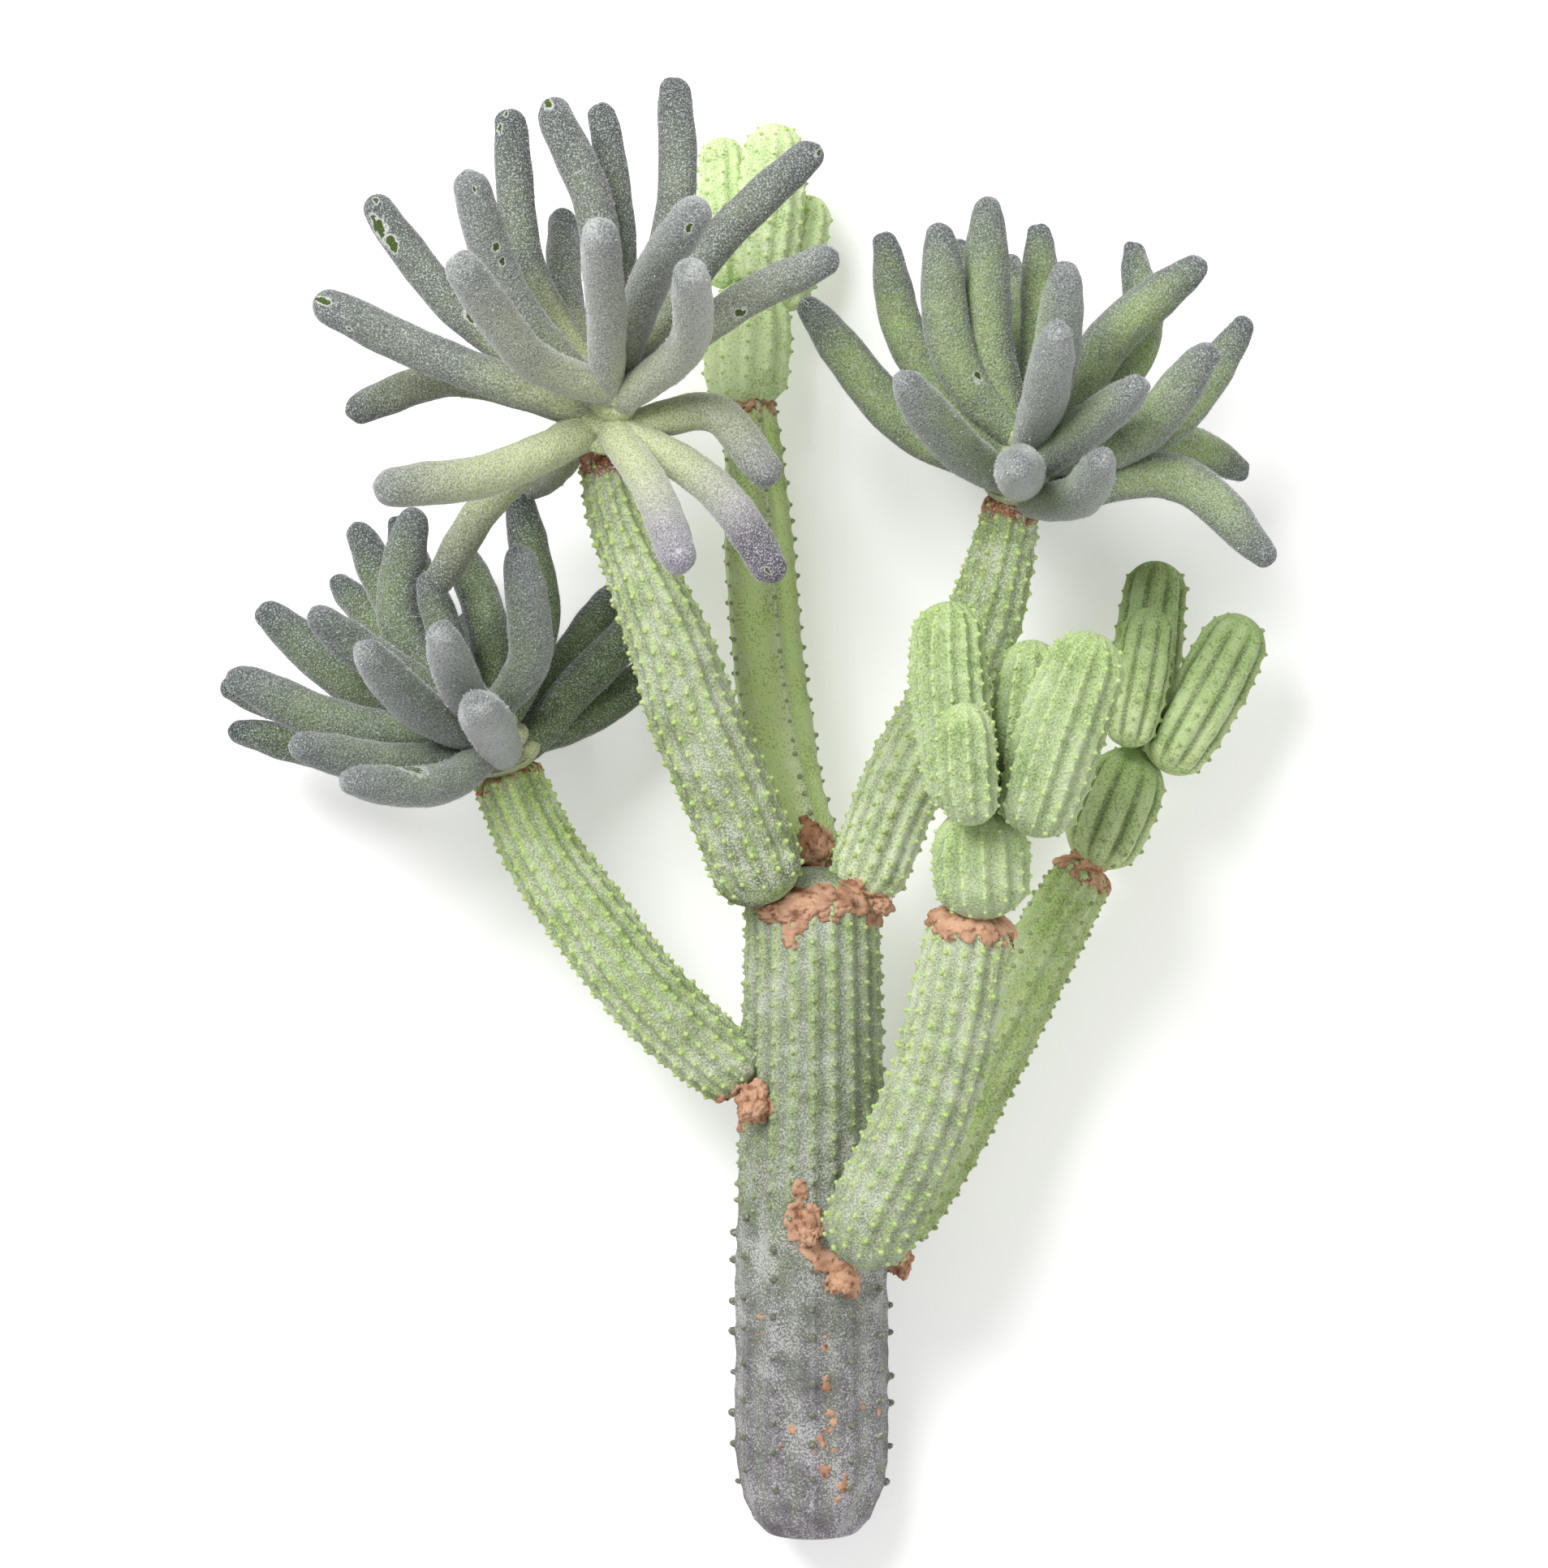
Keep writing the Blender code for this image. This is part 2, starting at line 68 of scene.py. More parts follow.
def srgb(red, green, blue):
    """A linear colour from 0-255 display values."""
    channels = []
    for value in (red / 255.0, green / 255.0, blue / 255.0):
        channels.append(value / 12.92 if value <= 0.04045 else ((value + 0.055) / 1.055) ** 2.4)
    return (*channels, 1.0)


def stand(name, data):
    """A new object in the scene, at the origin."""
    thing = bpy.data.objects.new(name, data)
    bpy.context.scene.collection.objects.link(thing)
    return thing


scene = bpy.context.scene
scene.view_settings.view_transform = "Standard"
camera_data = bpy.data.cameras.new("camera")
camera_data.sensor_width = 36.0
camera_data.lens = LENS
camera_data.clip_start = 0.05
scene.camera = stand("camera", camera_data)
scene.camera.location = CAMERA_PLACE

scene.world = bpy.data.worlds.new("bright_walls")
scene.world.use_nodes = True
walls = scene.world.node_tree.nodes["Background"]
walls.inputs["Color"].default_value = WALL_COLOR
walls.inputs["Strength"].default_value = WALL_STRENGTH
for name, (spot, size, power) in LAMPS.items():
    lamp = bpy.data.lights.new(name, "AREA")
    lamp.shape = "DISK"
    lamp.size = size
    lamp.energy = power
    holder = stand(name, lamp)
    holder.location = spot
    holder.rotation_euler = (LAMP_AIM - Vector(spot)).to_track_quat("-Z", "Y").to_euler()

half = TABLE_SIZE / 2
table_mesh = bpy.data.meshes.new("table")
table_mesh.from_pydata([(-half, -half, 0), (half, -half, 0), (half, half, 0), (-half, half, 0)],
                       [], [(0, 1, 2, 3)])
table_paint = bpy.data.materials.new("table_paint")
table_paint.use_nodes = True
shader = table_paint.node_tree.nodes["Principled BSDF"]
shader.inputs["Base Color"].default_value = TABLE_COLOR
shader.inputs["Roughness"].default_value = 0.8
shader.inputs["Emission Color"].default_value = (1.0, 1.0, 1.0, 1.0)
shader.inputs["Emission Strength"].default_value = TABLE_GLOW
table_mesh.materials.append(table_paint)
stand("table", table_mesh)

# ================================================================ trunk
# One thick moulded foam stem with a round foot. Fine ribs run down its upper half and
# merge into broad ones lower down, where the tubercles stand further apart.
MM = 0.001
SKIN_STEP = 0.55          # mm between the rings of a stem's skin
RIB_POINTS = 12           # points of a ring on each rib
CURVE_STEPS = 24          # points of a stem's line between two knots
CAP_RINGS = 10            # rings on each rounded end
TRUNK_LINE = [(16.5, -180.5, 18.3), (16.5, -150, 19.5), (16.4, -119, 26), (16.4, -88, 32.5),
              (16.6, -58, 39), (16.5, -38, 43), (16.3, -11.5, 47.4)]
TRUNK_RADII = [(0.0, 9.4), (0.005, 11.0), (0.027, 14.4), (0.06, 17.2), (0.11, 19.0), (0.16, 19.3),
               (0.4, 19.0), (0.7, 17.4), (1.0, 16.2)]
TRUNK_RIBS = 12
TRUNK_FINE_RIBS = 21
TRUNK_SPACING = 9.4       # mm between tubercles on the lower trunk
FINE_SPACING = 4.6        # mm between tubercles everywhere else


class Stem:
    """A round stem on a smooth line, in mm. A share runs from 0 at its root to 1 at its tip.

    radii are (share, radius) pairs, caps are the lengths of the two rounded ends as parts of
    the radius there, and turn rolls the ribs round the line.
    """

    def __init__(self, line, radii, caps, turn=0.0):
        knots = np.array(line, float)
        knots = np.vstack([2 * knots[0] - knots[1], knots, 2 * knots[-1] - knots[-2]])
        dense = []
        for i in range(1, len(knots) - 2):
            a, b, c, d = knots[i - 1:i + 3]
            for t in np.linspace(0.0, 1.0, CURVE_STEPS, endpoint=False):
                dense.append(0.5 * (2 * b + (c - a) * t + (2 * a - 5 * b + 4 * c - d) * t * t
                                    + (3 * b - 3 * c + d - a) * t ** 3))
        dense.append(knots[-2])
        self.dense = np.array(dense)
        steps = np.linalg.norm(np.diff(self.dense, axis=0), axis=1)
        self.reach = np.concatenate([[0.0], np.cumsum(steps)])
        self.length = self.reach[-1]
        self.radii = radii
        self.turn = turn
        self.caps = (caps[0] * radii[0][1] / self.length, caps[1] * radii[-1][1] / self.length)
        along = np.gradient(self.dense, axis=0)
        self.along = along / np.linalg.norm(along, axis=1)[:, None]
        side = np.array([0.0, 0.0, 1.0])
        sides = []
        for direction in self.along:
            side = side - direction * side.dot(direction)
            side = side / np.linalg.norm(side)
            sides.append(side)
        self.side = np.array(sides)

    def read(self, table, share):
        """A row of the table, by its share of the stem's length."""
        reach = np.asarray(share) * self.length
        return np.stack([np.interp(reach, self.reach, table[:, k]) for k in range(3)], axis=-1)

    def radius(self, share):
        share = np.asarray(share, float)
        body = np.interp(share, [s for s, _ in self.radii], [r for _, r in self.radii])
        first, last = self.caps
        start = np.clip(1.0 - share / first, 0.0, 1.0)
        end = np.clip(1.0 - (1.0 - share) / last, 0.0, 1.0)
        return body * np.sqrt(1.0 - start ** 2) * np.sqrt(1.0 - end ** 2)

    def point(self, share, angle, lift=0.0):
        """A point on or above the stem's round surface, and the way out from there."""
        centre = self.read(self.dense, share)
        along = self.read(self.along, share)
        side = self.read(self.side, share)
        across = np.cross(along, side)
        angle = np.asarray(angle)[..., None] + self.turn
        out = side * np.cos(angle) + across * np.sin(angle)
        reach = (self.radius(share) + lift)[..., None]
        return centre + out * reach, out

    def ring_shares(self, step):
        """Where the skin's rings stand: evenly along the stem, closer on its rounded ends."""
        first, last = self.caps
        turn = np.linspace(0.12, math.pi / 2, CAP_RINGS)
        count = max(2, int((1.0 - first - last) * self.length / step))
        return np.concatenate([first * (1.0 - np.cos(turn)),
                               np.linspace(first, 1.0 - last, count + 2)[1:-1],
                               1.0 - last * (1.0 - np.cos(turn[::-1]))])


def tube_faces(rows, sides):
    """Faces of a tube: a first point, rows of rings, and a last point."""
    faces = []
    last = 1 + rows * sides
    for k in range(sides):
        n = (k + 1) % sides
        faces.append((0, 1 + n, 1 + k))
        for a in range(1, last - sides, sides):
            faces.append((a + k, a + n, a + sides + n, a + sides + k))
        faces.append((last - sides + k, last - sides + n, last))
    return faces


def skin(stem, sides, step, relief):
    """Points and faces of a closed stem skin. relief gives each point's lift and its values."""
    shares = stem.ring_shares(step)
    angles = np.linspace(0.0, 2.0 * math.pi, sides, endpoint=False)
    share_grid, angle_grid = np.meshgrid(shares, angles, indexing="ij")
    lift, values = relief(share_grid, angle_grid)
    points, _ = stem.point(share_grid, angle_grid, lift)
    verts = np.vstack([stem.dense[:1], points.reshape(-1, 3), stem.dense[-1:]])
    table = {}
    for name, grid in values.items():
        table[name] = np.concatenate([[grid[0].mean()], grid.reshape(-1), [grid[-1].mean()]])
    return verts, tube_faces(len(shares), sides), table


def solid(name, parts, material):
    """One smooth object from (points in mm, faces, point values) parts."""
    verts = np.vstack([part[0] for part in parts]) * MM
    faces = []
    start = 0
    for part in parts:
        faces.extend(tuple(start + i for i in face) for face in part[1])
        start += len(part[0])
    mesh = bpy.data.meshes.new(name)
    mesh.from_pydata(verts.tolist(), [], faces)
    for value in parts[0][2]:
        data = np.concatenate([part[2][value] for part in parts]).astype(np.float32)
        mesh.attributes.new(value, "FLOAT", "POINT").data.foreach_set("value", data)
    mesh.shade_smooth()
    mesh.materials.append(material)
    return stand(name, mesh)


def place(piece, slot, *nodes):
    """The piece moves with the cactus, and stands for its CAD nodes."""
    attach(piece, "root")
    if nodes:
        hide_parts(*nodes)


class Finish:
    """A procedural finish: a small set of links between named nodes."""

    def __init__(self, name, roughness):
        self.material = bpy.data.materials.new(name)
        self.material.use_nodes = True
        self.nodes = self.material.node_tree.nodes
        self.links = self.material.node_tree.links
        self.shader = self.nodes["Principled BSDF"]
        self.shader.inputs["Roughness"].default_value = roughness
        self.shader.inputs["Specular IOR Level"].default_value = 0.25
        self.place = self.nodes.new("ShaderNodeTexCoord").outputs["Object"]

    def value(self, name):
        """A value that the mesh carries at each of its points."""
        node = self.nodes.new("ShaderNodeAttribute")
        node.attribute_name = name
        return node.outputs["Fac"]

    def grain(self, scale, detail=2.0):
        """Noise from 0 to 1, with about this many grains to a metre."""
        node = self.nodes.new("ShaderNodeTexNoise")
        node.inputs["Scale"].default_value = scale
        node.inputs["Detail"].default_value = detail
        self.links.new(self.place, node.inputs["Vector"])
        return node.outputs["Fac"]

    def ramp(self, source, stops):
        node = self.nodes.new("ShaderNodeValToRGB")
        ramp = node.color_ramp
        while len(ramp.elements) < len(stops):
            ramp.elements.new(0.5)
        for element, (position, color) in zip(ramp.elements, stops):
            element.position = position
            element.color = color
        self.links.new(source, node.inputs["Fac"])
        return node.outputs["Color"]

    def mask(self, source, low, high):
        """0 below low, 1 above high, smooth between."""
        node = self.nodes.new("ShaderNodeMapRange")
        node.interpolation_type = "SMOOTHSTEP"
        node.inputs["From Min"].default_value = low
        node.inputs["From Max"].default_value = high
        self.links.new(source, node.inputs["Value"])
        return node.outputs["Result"]

    def math(self, operation, a, b):
        node = self.nodes.new("ShaderNodeMath")
        node.operation = operation
        for socket, source in zip(node.inputs, (a, b)):
            if isinstance(source, (int, float)):
                socket.default_value = source
            else:
                self.links.new(source, socket)
        return node.outputs["Value"]

    def blend(self, factor, a, b, mode="MIX"):
        node = self.nodes.new("ShaderNodeMix")
        node.data_type = "RGBA"
        node.blend_type = mode
        for index, source in ((0, factor), (6, a), (7, b)):
            socket = node.inputs[index]
            if isinstance(source, (int, float, tuple)):
                socket.default_value = source
            else:
                self.links.new(source, socket)
        return node.outputs[2]

    def finish(self, color, height=None, depth=0.0003, strength=0.6):
        """The material, with its colour and a fine roughness of the surface. depth is in m."""
        self.links.new(color, self.shader.inputs["Base Color"])
        if height is not None:
            bump = self.nodes.new("ShaderNodeBump")
            bump.inputs["Distance"].default_value = depth
            bump.inputs["Strength"].default_value = strength
            self.links.new(height, bump.inputs["Height"])
            self.links.new(bump.outputs["Normal"], self.shader.inputs["Normal"])
        return self.material


def dusted_foam(name, stops, groove, crest, dust, dust_amount, rust=None, fade=(-2.0, -1.0),
                edge=0.0):
    """Moulded foam, darker in the grooves between its ribs as painted shade, brighter on its
    crests, and powdered with pale flock in fine specks.

    fade gives the heights between which the crest colour comes in, and edge is how pale the
    flock has turned the very crest of a rib.
    """
    look = Finish(name, 0.85)
    body = look.ramp(look.value("along"), stops)
    tinted = look.mask(look.value("along"), *fade)
    mottle = look.math("MULTIPLY", look.mask(look.grain(170.0, 3.0), 0.40, 0.64), tinted)
    body = look.blend(look.math("MULTIPLY", mottle, 0.45), body, crest)
    # Painted shade: the grooves between the ribs take the groove colour, which on arm_back is paler,
    # as painted light.
    hollow = look.mask(look.value("groove"), 0.25, 1.0)
    body = look.blend(look.math("MULTIPLY", hollow, 0.7), body, groove)
    mound = look.math("MULTIPLY", look.mask(look.value("bump"), 0.10, 0.75), tinted)
    body = look.blend(look.math("MULTIPLY", mound, 0.6), body, crest)
    ragged = look.math("ADD", look.value("groove"), look.math("MULTIPLY", look.grain(600.0), 0.08))
    line = look.mask(ragged, 0.12, 0.05)
    body = look.blend(look.math("MULTIPLY", line, edge), body, dust)
    if rust:
        blotch = look.math("MULTIPLY", look.grain(420.0, 3.0), 0.9)
        stain = look.math("ADD", look.value("stain"), blotch)
        body = look.blend(look.mask(stain, 0.95, 1.15), body, rust)
    cloud = look.math("MULTIPLY", look.grain(110.0, 2.0), 0.5)
    speck = look.math("ADD", look.math("ADD", look.grain(2000.0, 2.0), cloud),
                      look.math("MULTIPLY", look.value("groove"), 0.02))
    powder = look.math("MULTIPLY", look.mask(speck, 0.74, 0.90), dust_amount)
    body = look.blend(powder, body, dust)
    pits = look.mask(look.math("ADD", look.grain(1700.0, 2.0), cloud), 0.71, 0.58)
    body = look.blend(look.math("MULTIPLY", pits, 0.75), body, (0.50, 0.54, 0.47, 1.0), "MULTIPLY")
    return look.finish(body, look.grain(1500.0, 2.0), 0.0005, 0.9)


def rib_depth(angle, ribs, sharp=1.0):
    """0 on a rib's crest, 1 at the bottom of the groove between ribs."""
    phase = (angle * ribs / (2.0 * math.pi)) % 1.0
    return (0.5 - 0.5 * np.cos(2.0 * math.pi * phase)) ** sharp


def scatter(rib, step):
    """Two steady random numbers from 0 to 1 for the tubercle at one step of one rib."""
    first = np.sin(rib * 12.9898 + step * 78.233) * 43758.5453
    second = np.sin(rib * 39.425 + step * 11.135) * 24634.6345
    return first - np.floor(first), second - np.floor(second)


def mounds(stem, share, angle, ribs, spacing, width):
    """The soft swelling under every tubercle, 1 at its top and 0 between tubercles."""
    rib = np.round(angle * ribs / (2.0 * math.pi))
    around = (angle - rib * 2.0 * math.pi / ribs) * np.maximum(stem.radius(share), 1.0)
    rib = rib % ribs
    phase = share * stem.length / spacing - 0.5 * (rib % 2)
    total = np.zeros_like(share)
    for step in (np.floor(phase), np.floor(phase) + 1.0):
        shift, size = scatter(rib, step)
        along = (phase - step - 0.3 * (shift - 0.5)) * spacing
        swell = np.exp(-(along ** 2 + around ** 2) / width ** 2)
        total = np.maximum(total, (0.6 + 0.4 * size) * swell)
    return total


def lumps(share, angle, count, length):
    """Slow unevenness of a hand-finished skin, from -1 to 1."""
    at = share * length
    return (np.sin(at * 0.31 + 2.0 * angle) * np.sin(3.0 * angle + at * 0.13 + count)
            + 0.5 * np.sin(at * 0.9 + 5.0 * angle + count))


def trunk_relief(share, angle):
    """Broad ribs at the foot that turn into fine ones further up."""
    fine = np.clip((share - 0.42) / 0.16, 0.0, 1.0)
    fine = fine * fine * (3.0 - 2.0 * fine)
    broad_depth = rib_depth(angle, TRUNK_RIBS)
    fine_depth = rib_depth(angle, TRUNK_FINE_RIBS)
    depth = broad_depth * (1.0 - fine) + fine_depth * fine
    edge = np.clip(np.minimum(share / 0.05, (1.0 - share) / trunk_stem.caps[1]), 0.0, 1.0)
    bump = mounds(trunk_stem, share, angle, TRUNK_RIBS, TRUNK_SPACING, 1.3) * (1.0 - fine)
    bump = bump + mounds(trunk_stem, share, angle, TRUNK_FINE_RIBS, FINE_SPACING, 1.1) * fine
    lift = edge * (0.6 * bump - broad_depth * (1.0 - fine) * 0.9 - fine_depth * fine * 0.7)
    lift = lift + 0.18 * edge * lumps(share, angle, 1.0, trunk_stem.length)
    return lift, {"along": share, "groove": depth * edge, "bump": bump * edge * (0.3 + 0.7 * fine),
                  "stain": share * 0.0}


tubercles = {"points": [], "out": [], "size": [], "tint": []}


def add_tubercles(stem, ribs, spacing, span, size, tint):
    """Marks where tubercles stand: along each rib's crest, staggered from rib to rib."""
    start, end = span
    for rib in range(ribs):
        for step in range(int(stem.length / spacing) + 1):
            shift, grow = scatter(rib, step)
            share = (step + 0.5 * (rib % 2) + 0.3 * (shift - 0.5)) * spacing / stem.length
            if share < start or share > end:
                continue
            point, out = stem.point(share, 2.0 * math.pi * rib / ribs, 0.35 * size)
            along = stem.read(stem.along, share)
            tubercles["points"].append(point)
            tubercles["out"].append(out + 0.25 * along)
            tubercles["size"].append(size * (0.7 + 0.45 * grow))
            tubercles["tint"].append(tint(share) if callable(tint) else tint)


trunk_stem = Stem(TRUNK_LINE, TRUNK_RADII, (0.2, 0.5))
# The trunk's last colour stop is painted shadow: the trunk turns dark at its top end, among the feet
# of the arms.
trunk_finish = dusted_foam(
    "trunk_foam",
    [(0.0, srgb(122, 116, 124)), (0.28, srgb(118, 116, 118)), (0.48, srgb(116, 122, 108)),
     (0.62, srgb(126, 140, 106)), (0.80, srgb(156, 170, 130)), (0.975, srgb(166, 186, 134)),
     (1.0, srgb(96, 106, 78))],
    srgb(132, 136, 124), srgb(162, 184, 114), srgb(206, 206, 206), 0.6, fade=(0.30, 0.72),
    edge=0.12)
trunk_skin = skin(trunk_stem, RIB_POINTS * TRUNK_FINE_RIBS, SKIN_STEP, trunk_relief)
place(solid("trunk_stem", [trunk_skin], trunk_finish), "trunk_foam", "trunk")
add_tubercles(trunk_stem, TRUNK_RIBS, TRUNK_SPACING, (0.05, 0.50), 1.1, 0.05)
add_tubercles(trunk_stem, TRUNK_FINE_RIBS, FINE_SPACING, (0.50, 0.96), 0.7,
              lambda share: 0.3 + 0.5 * (share - 0.5))

# ================================================================ arms
# Six thinner moulded stems, glued to the trunk at its foot, waist and top. Each has its own
# count of ribs, and the tops of three are stained brown where the rosettes were glued on.
ARMS = {
    # groove is the depth between ribs in mm, stops are the colours from root to tip, and rust
    # is how brown the top is. sharp is how narrow the grooves are (1 is a plain wave), turn
    # rolls the ribs, tint is how pale the tubercles are, dusting is the amount of flock,
    # hollow and crest are the colours between and on the ribs, and edge is how pale the flock
    # has turned the crests. hollow is painted shade in the grooves, paler on arm_back as
    # painted light.
    "arm_left": dict(
        line=[(1.0, -65, 42), (-14.8, -52, 46), (-27.7, -38.5, 49), (-39.7, -22.5, 51),
              (-50.6, -6.5, 53), (-58.6, 11.0, 54.0), (-59.6, 14.0, 55.0)],
        radii=[(0.0, 8.8), (0.25, 9.9), (0.6, 10.0), (1.0, 8.4)], caps=(0.8, 0.6), ribs=14,
        groove=0.7, stops=[(0.0, srgb(146, 158, 124)), (0.35, srgb(152, 172, 116)),
                           (1.0, srgb(168, 194, 112))], rust=0.55),
    "arm_tall": dict(
        line=[(6.3, -20, 62), (1.0, -6.5, 62), (-5.6, 10.5, 65), (-12.8, 26.3, 69),
              (-17.7, 42, 74), (-24.1, 57.5, 78), (-31.2, 75, 82), (-34.2, 88.5, 86),
              (-33.8, 92.5, 88.5)],
        radii=[(0.0, 11.3), (0.4, 11.0), (0.6, 9.7), (0.8, 7.3), (1.0, 4.8)], caps=(0.9, 0.4),
        ribs=14, groove=0.7, stops=[(0.0, srgb(92, 100, 78)), (0.3, srgb(144, 156, 118)),
                                    (0.6, srgb(172, 188, 142)), (1.0, srgb(164, 182, 124))],
        rust=1.0),
    # arm_back lies low, in the shade of the other arms: its pale stops and hollow are painted light,
    # paler than the green of its foam.
    "arm_back": dict(
        line=[(16.4, -12.5, 33.5), (13.4, -1.6, 34), (9.3, 12.5, 32), (5.9, 33, 28),
              (3.8, 53.3, 25), (2.4, 73.7, 23), (0.4, 107.0, 21)],
        radii=[(0.0, 7.8), (0.3, 9.4), (0.7, 9.2), (1.0, 6.6)], caps=(0.8, 0.5), ribs=5,
        groove=1.7, stops=[(0.0, srgb(222, 236, 182)), (0.5, srgb(186, 206, 134)),
                           (1.0, srgb(170, 190, 120))], rust=0.0, sharp=0.7, tint=0.3, turn=0.42,
        dusting=0.25, hollow=srgb(212, 236, 152), crest=srgb(196, 208, 168), edge=0.6),
    "arm_right": dict(
        line=[(27.3, -19.0, 48.5), (31.3, -9.5, 48), (35.9, 2.5, 48), (42.3, 16.5, 49),
              (51.3, 32.5, 50), (58.8, 50.4, 52), (63.2, 66.4, 53), (65.6, 77.5, 53.8),
              (66.2, 81.0, 55.0)],
        radii=[(0.0, 9.4), (0.3, 10.0), (0.7, 9.4), (1.0, 6.3)], caps=(0.9, 0.5), ribs=13,
        groove=0.7, stops=[(0.0, srgb(224, 236, 198)), (0.4, srgb(184, 202, 148)),
                           (0.65, srgb(148, 168, 112)), (1.0, srgb(122, 142, 86))], rust=0.9,
        crest=srgb(164, 188, 112), hollow=srgb(144, 154, 122)),
    "arm_low_front": dict(
        line=[(26.4, -108.5, 58), (33.1, -93.2, 60), (40.0, -79.6, 64), (44.8, -67.4, 69),
              (48.2, -56.4, 73), (51.0, -44.4, 77), (53.3, -31.6, 81), (55.2, -20.5, 84)],
        radii=[(0.0, 11.2), (0.3, 11.7), (0.8, 11.2), (1.0, 9.7)], caps=(0.9, 0.5), ribs=15,
        groove=0.7, stops=[(0.0, srgb(134, 140, 120)), (0.4, srgb(168, 180, 146)),
                           (1.0, srgb(182, 198, 152))], rust=0.0),
    "arm_low_back": dict(
        line=[(34.5, -104, 27), (43.0, -92.5, 24), (50.2, -80.3, 22), (57.3, -67, 21),
              (64.5, -52.8, 21), (71.6, -38.4, 22), (78.7, -24.1, 23), (86.4, -10.5, 24)],
        radii=[(0.0, 8.8), (0.3, 9.2), (0.8, 8.8), (1.0, 7.4)], caps=(0.9, 0.5), ribs=10,
        groove=1.2, stops=[(0.0, srgb(160, 176, 128)), (1.0, srgb(172, 196, 126))], rust=0.0,
        sharp=0.8, tint=0.35, dusting=0.4, hollow=srgb(156, 174, 112), edge=0.3),
}


def ribbed_relief(stem, ribs, groove, spacing, width, height, stain, sharp=1.0):
    """Rounded ribs that swell under each tubercle, and fade at the round ends."""
    def relief(share, angle):
        depth = rib_depth(angle, ribs, sharp)
        first, last = stem.caps
        edge = np.clip(np.minimum(share / first, (1.0 - share) / last), 0.0, 1.0) ** 0.7
        bump = mounds(stem, share, angle, ribs, spacing, width)
        uneven = 0.14 * lumps(share, angle, ribs, stem.length)
        lift = edge * (height * bump - groove * depth + uneven)
        brown = stain * np.clip((share - 0.86) / 0.12, 0.0, 1.0)
        return lift, {"along": share, "groove": depth * edge, "bump": bump * edge, "stain": brown}
    return relief


stems = {"trunk": (trunk_stem, trunk_relief)}
for arm_name, arm in ARMS.items():
    stem = Stem(arm["line"], arm["radii"], arm["caps"], arm.get("turn", 0.0))
    foam = dusted_foam(arm_name + "_foam", arm["stops"], arm.get("hollow", srgb(150, 158, 134)),
                       arm.get("crest", srgb(176, 202, 116)), srgb(214, 218, 206),
                       arm.get("dusting", 0.6), rust=srgb(150, 100, 70), edge=arm.get("edge", 0.1))
    relief = ribbed_relief(stem, arm["ribs"], arm["groove"], FINE_SPACING, 1.15, 0.65, arm["rust"],
                           arm.get("sharp", 1.0))
    stems[arm_name] = (stem, relief)
    parts = [skin(stem, RIB_POINTS * arm["ribs"], SKIN_STEP, relief)]
    place(solid(arm_name + "_stem", parts, foam), "arm_foam", arm_name)
    add_tubercles(stem, arm["ribs"], FINE_SPACING, (0.03, 0.97), 0.72, arm.get("tint", 0.6))

# ================================================================ clusters
# Small barrel-shaped segments, moulded like the arms, glued to a base segment that sits on
# its arm in a ring of putty. Their ribs are rounder, and flat on the side cluster.
CLUSTERS = {
    # each segment is its line and its radius in mm, and its count of ribs
    "front_cluster": {
        "base": ([(57.5, -23.0, 86), (56.6, -9, 89), (56.0, 4.5, 91)], 11.8, 14),
        "tall": ([(52.6, 2.5, 95), (49.0, 32, 92), (48.7, 53, 91)], 9.6, 14),
        "small": ([(54.0, -0.5, 107), (52.6, 13, 109), (51.9, 28.5, 111)], 7.2, 10),
        "rear": ([(65.0, 1.5, 87), (67.5, 22, 84), (69.5, 44, 83)], 8.8, 12),
        "wide": ([(67.5, -3.0, 99), (75.0, 21.5, 103), (83.5, 45, 106)], 10.6, 13),
    },
    "side_cluster": {
        "base": ([(86.8, -11.5, 24), (93.0, 4, 25.5), (98.5, 18, 27)], 10.2, 9),
        "top": ([(99.0, 17, 20), (101.0, 42, 19), (104.0, 65.5, 18)], 8.6, 9),
        "front": ([(94.5, 18.5, 37), (98.0, 36, 39), (100.8, 53.0, 40)], 7.0, 8),
        "outer": ([(104.0, 12.5, 31), (114.5, 31, 32), (125.2, 51, 33)], 9.1, 9),
    },
    "back_cluster": {
        "base": ([(-0.6, 103.5, 21), (0.4, 121, 21), (0.6, 136, 21)], 11.0, 11),
        "left": ([(-4.6, 134, 18), (-5.6, 153, 17.5), (-6.0, 172.5, 17)], 6.6, 10),
        "middle": ([(4.3, 133.5, 27), (6.2, 154, 28.5), (7.5, 174.5, 30)], 8.5, 11),
        "right": ([(8.8, 128.5, 20), (13.5, 143, 20), (16.5, 157.5, 20)], 6.2, 9),
    },
}
CLUSTER_FOAM = {
    "front_cluster": dusted_foam("front_cluster_foam", [(0.0, srgb(160, 176, 136)),
                                 (0.4, srgb(164, 184, 132)), (1.0, srgb(168, 192, 122))],
                                 srgb(150, 168, 122), srgb(178, 200, 136),
                                 srgb(222, 226, 210), 0.35, edge=0.3),
    # Painted light: each segment of the side cluster is paler at its root, where the cluster lies in
    # shade.
    "side_cluster": dusted_foam("side_cluster_foam", [(0.0, srgb(206, 224, 164)),
                                (1.0, srgb(132, 158, 90))],
                                srgb(78, 90, 56), srgb(150, 180, 104),
                                srgb(206, 214, 190), 0.3, edge=0.12),
    "back_cluster": dusted_foam("back_cluster_foam", [(0.0, srgb(206, 224, 170)),
                                (0.5, srgb(212, 232, 172)), (1.0, srgb(206, 228, 164))],
                                srgb(190, 212, 152), srgb(212, 234, 170),
                                srgb(224, 230, 212), 0.35, edge=0.25),
}
BARREL = [(0.0, 0.82), (0.3, 0.98), (0.6, 1.0), (1.0, 0.86)]     # radius along a segment
SEGMENT_SPACING = 4.2                                           # mm between its tubercles
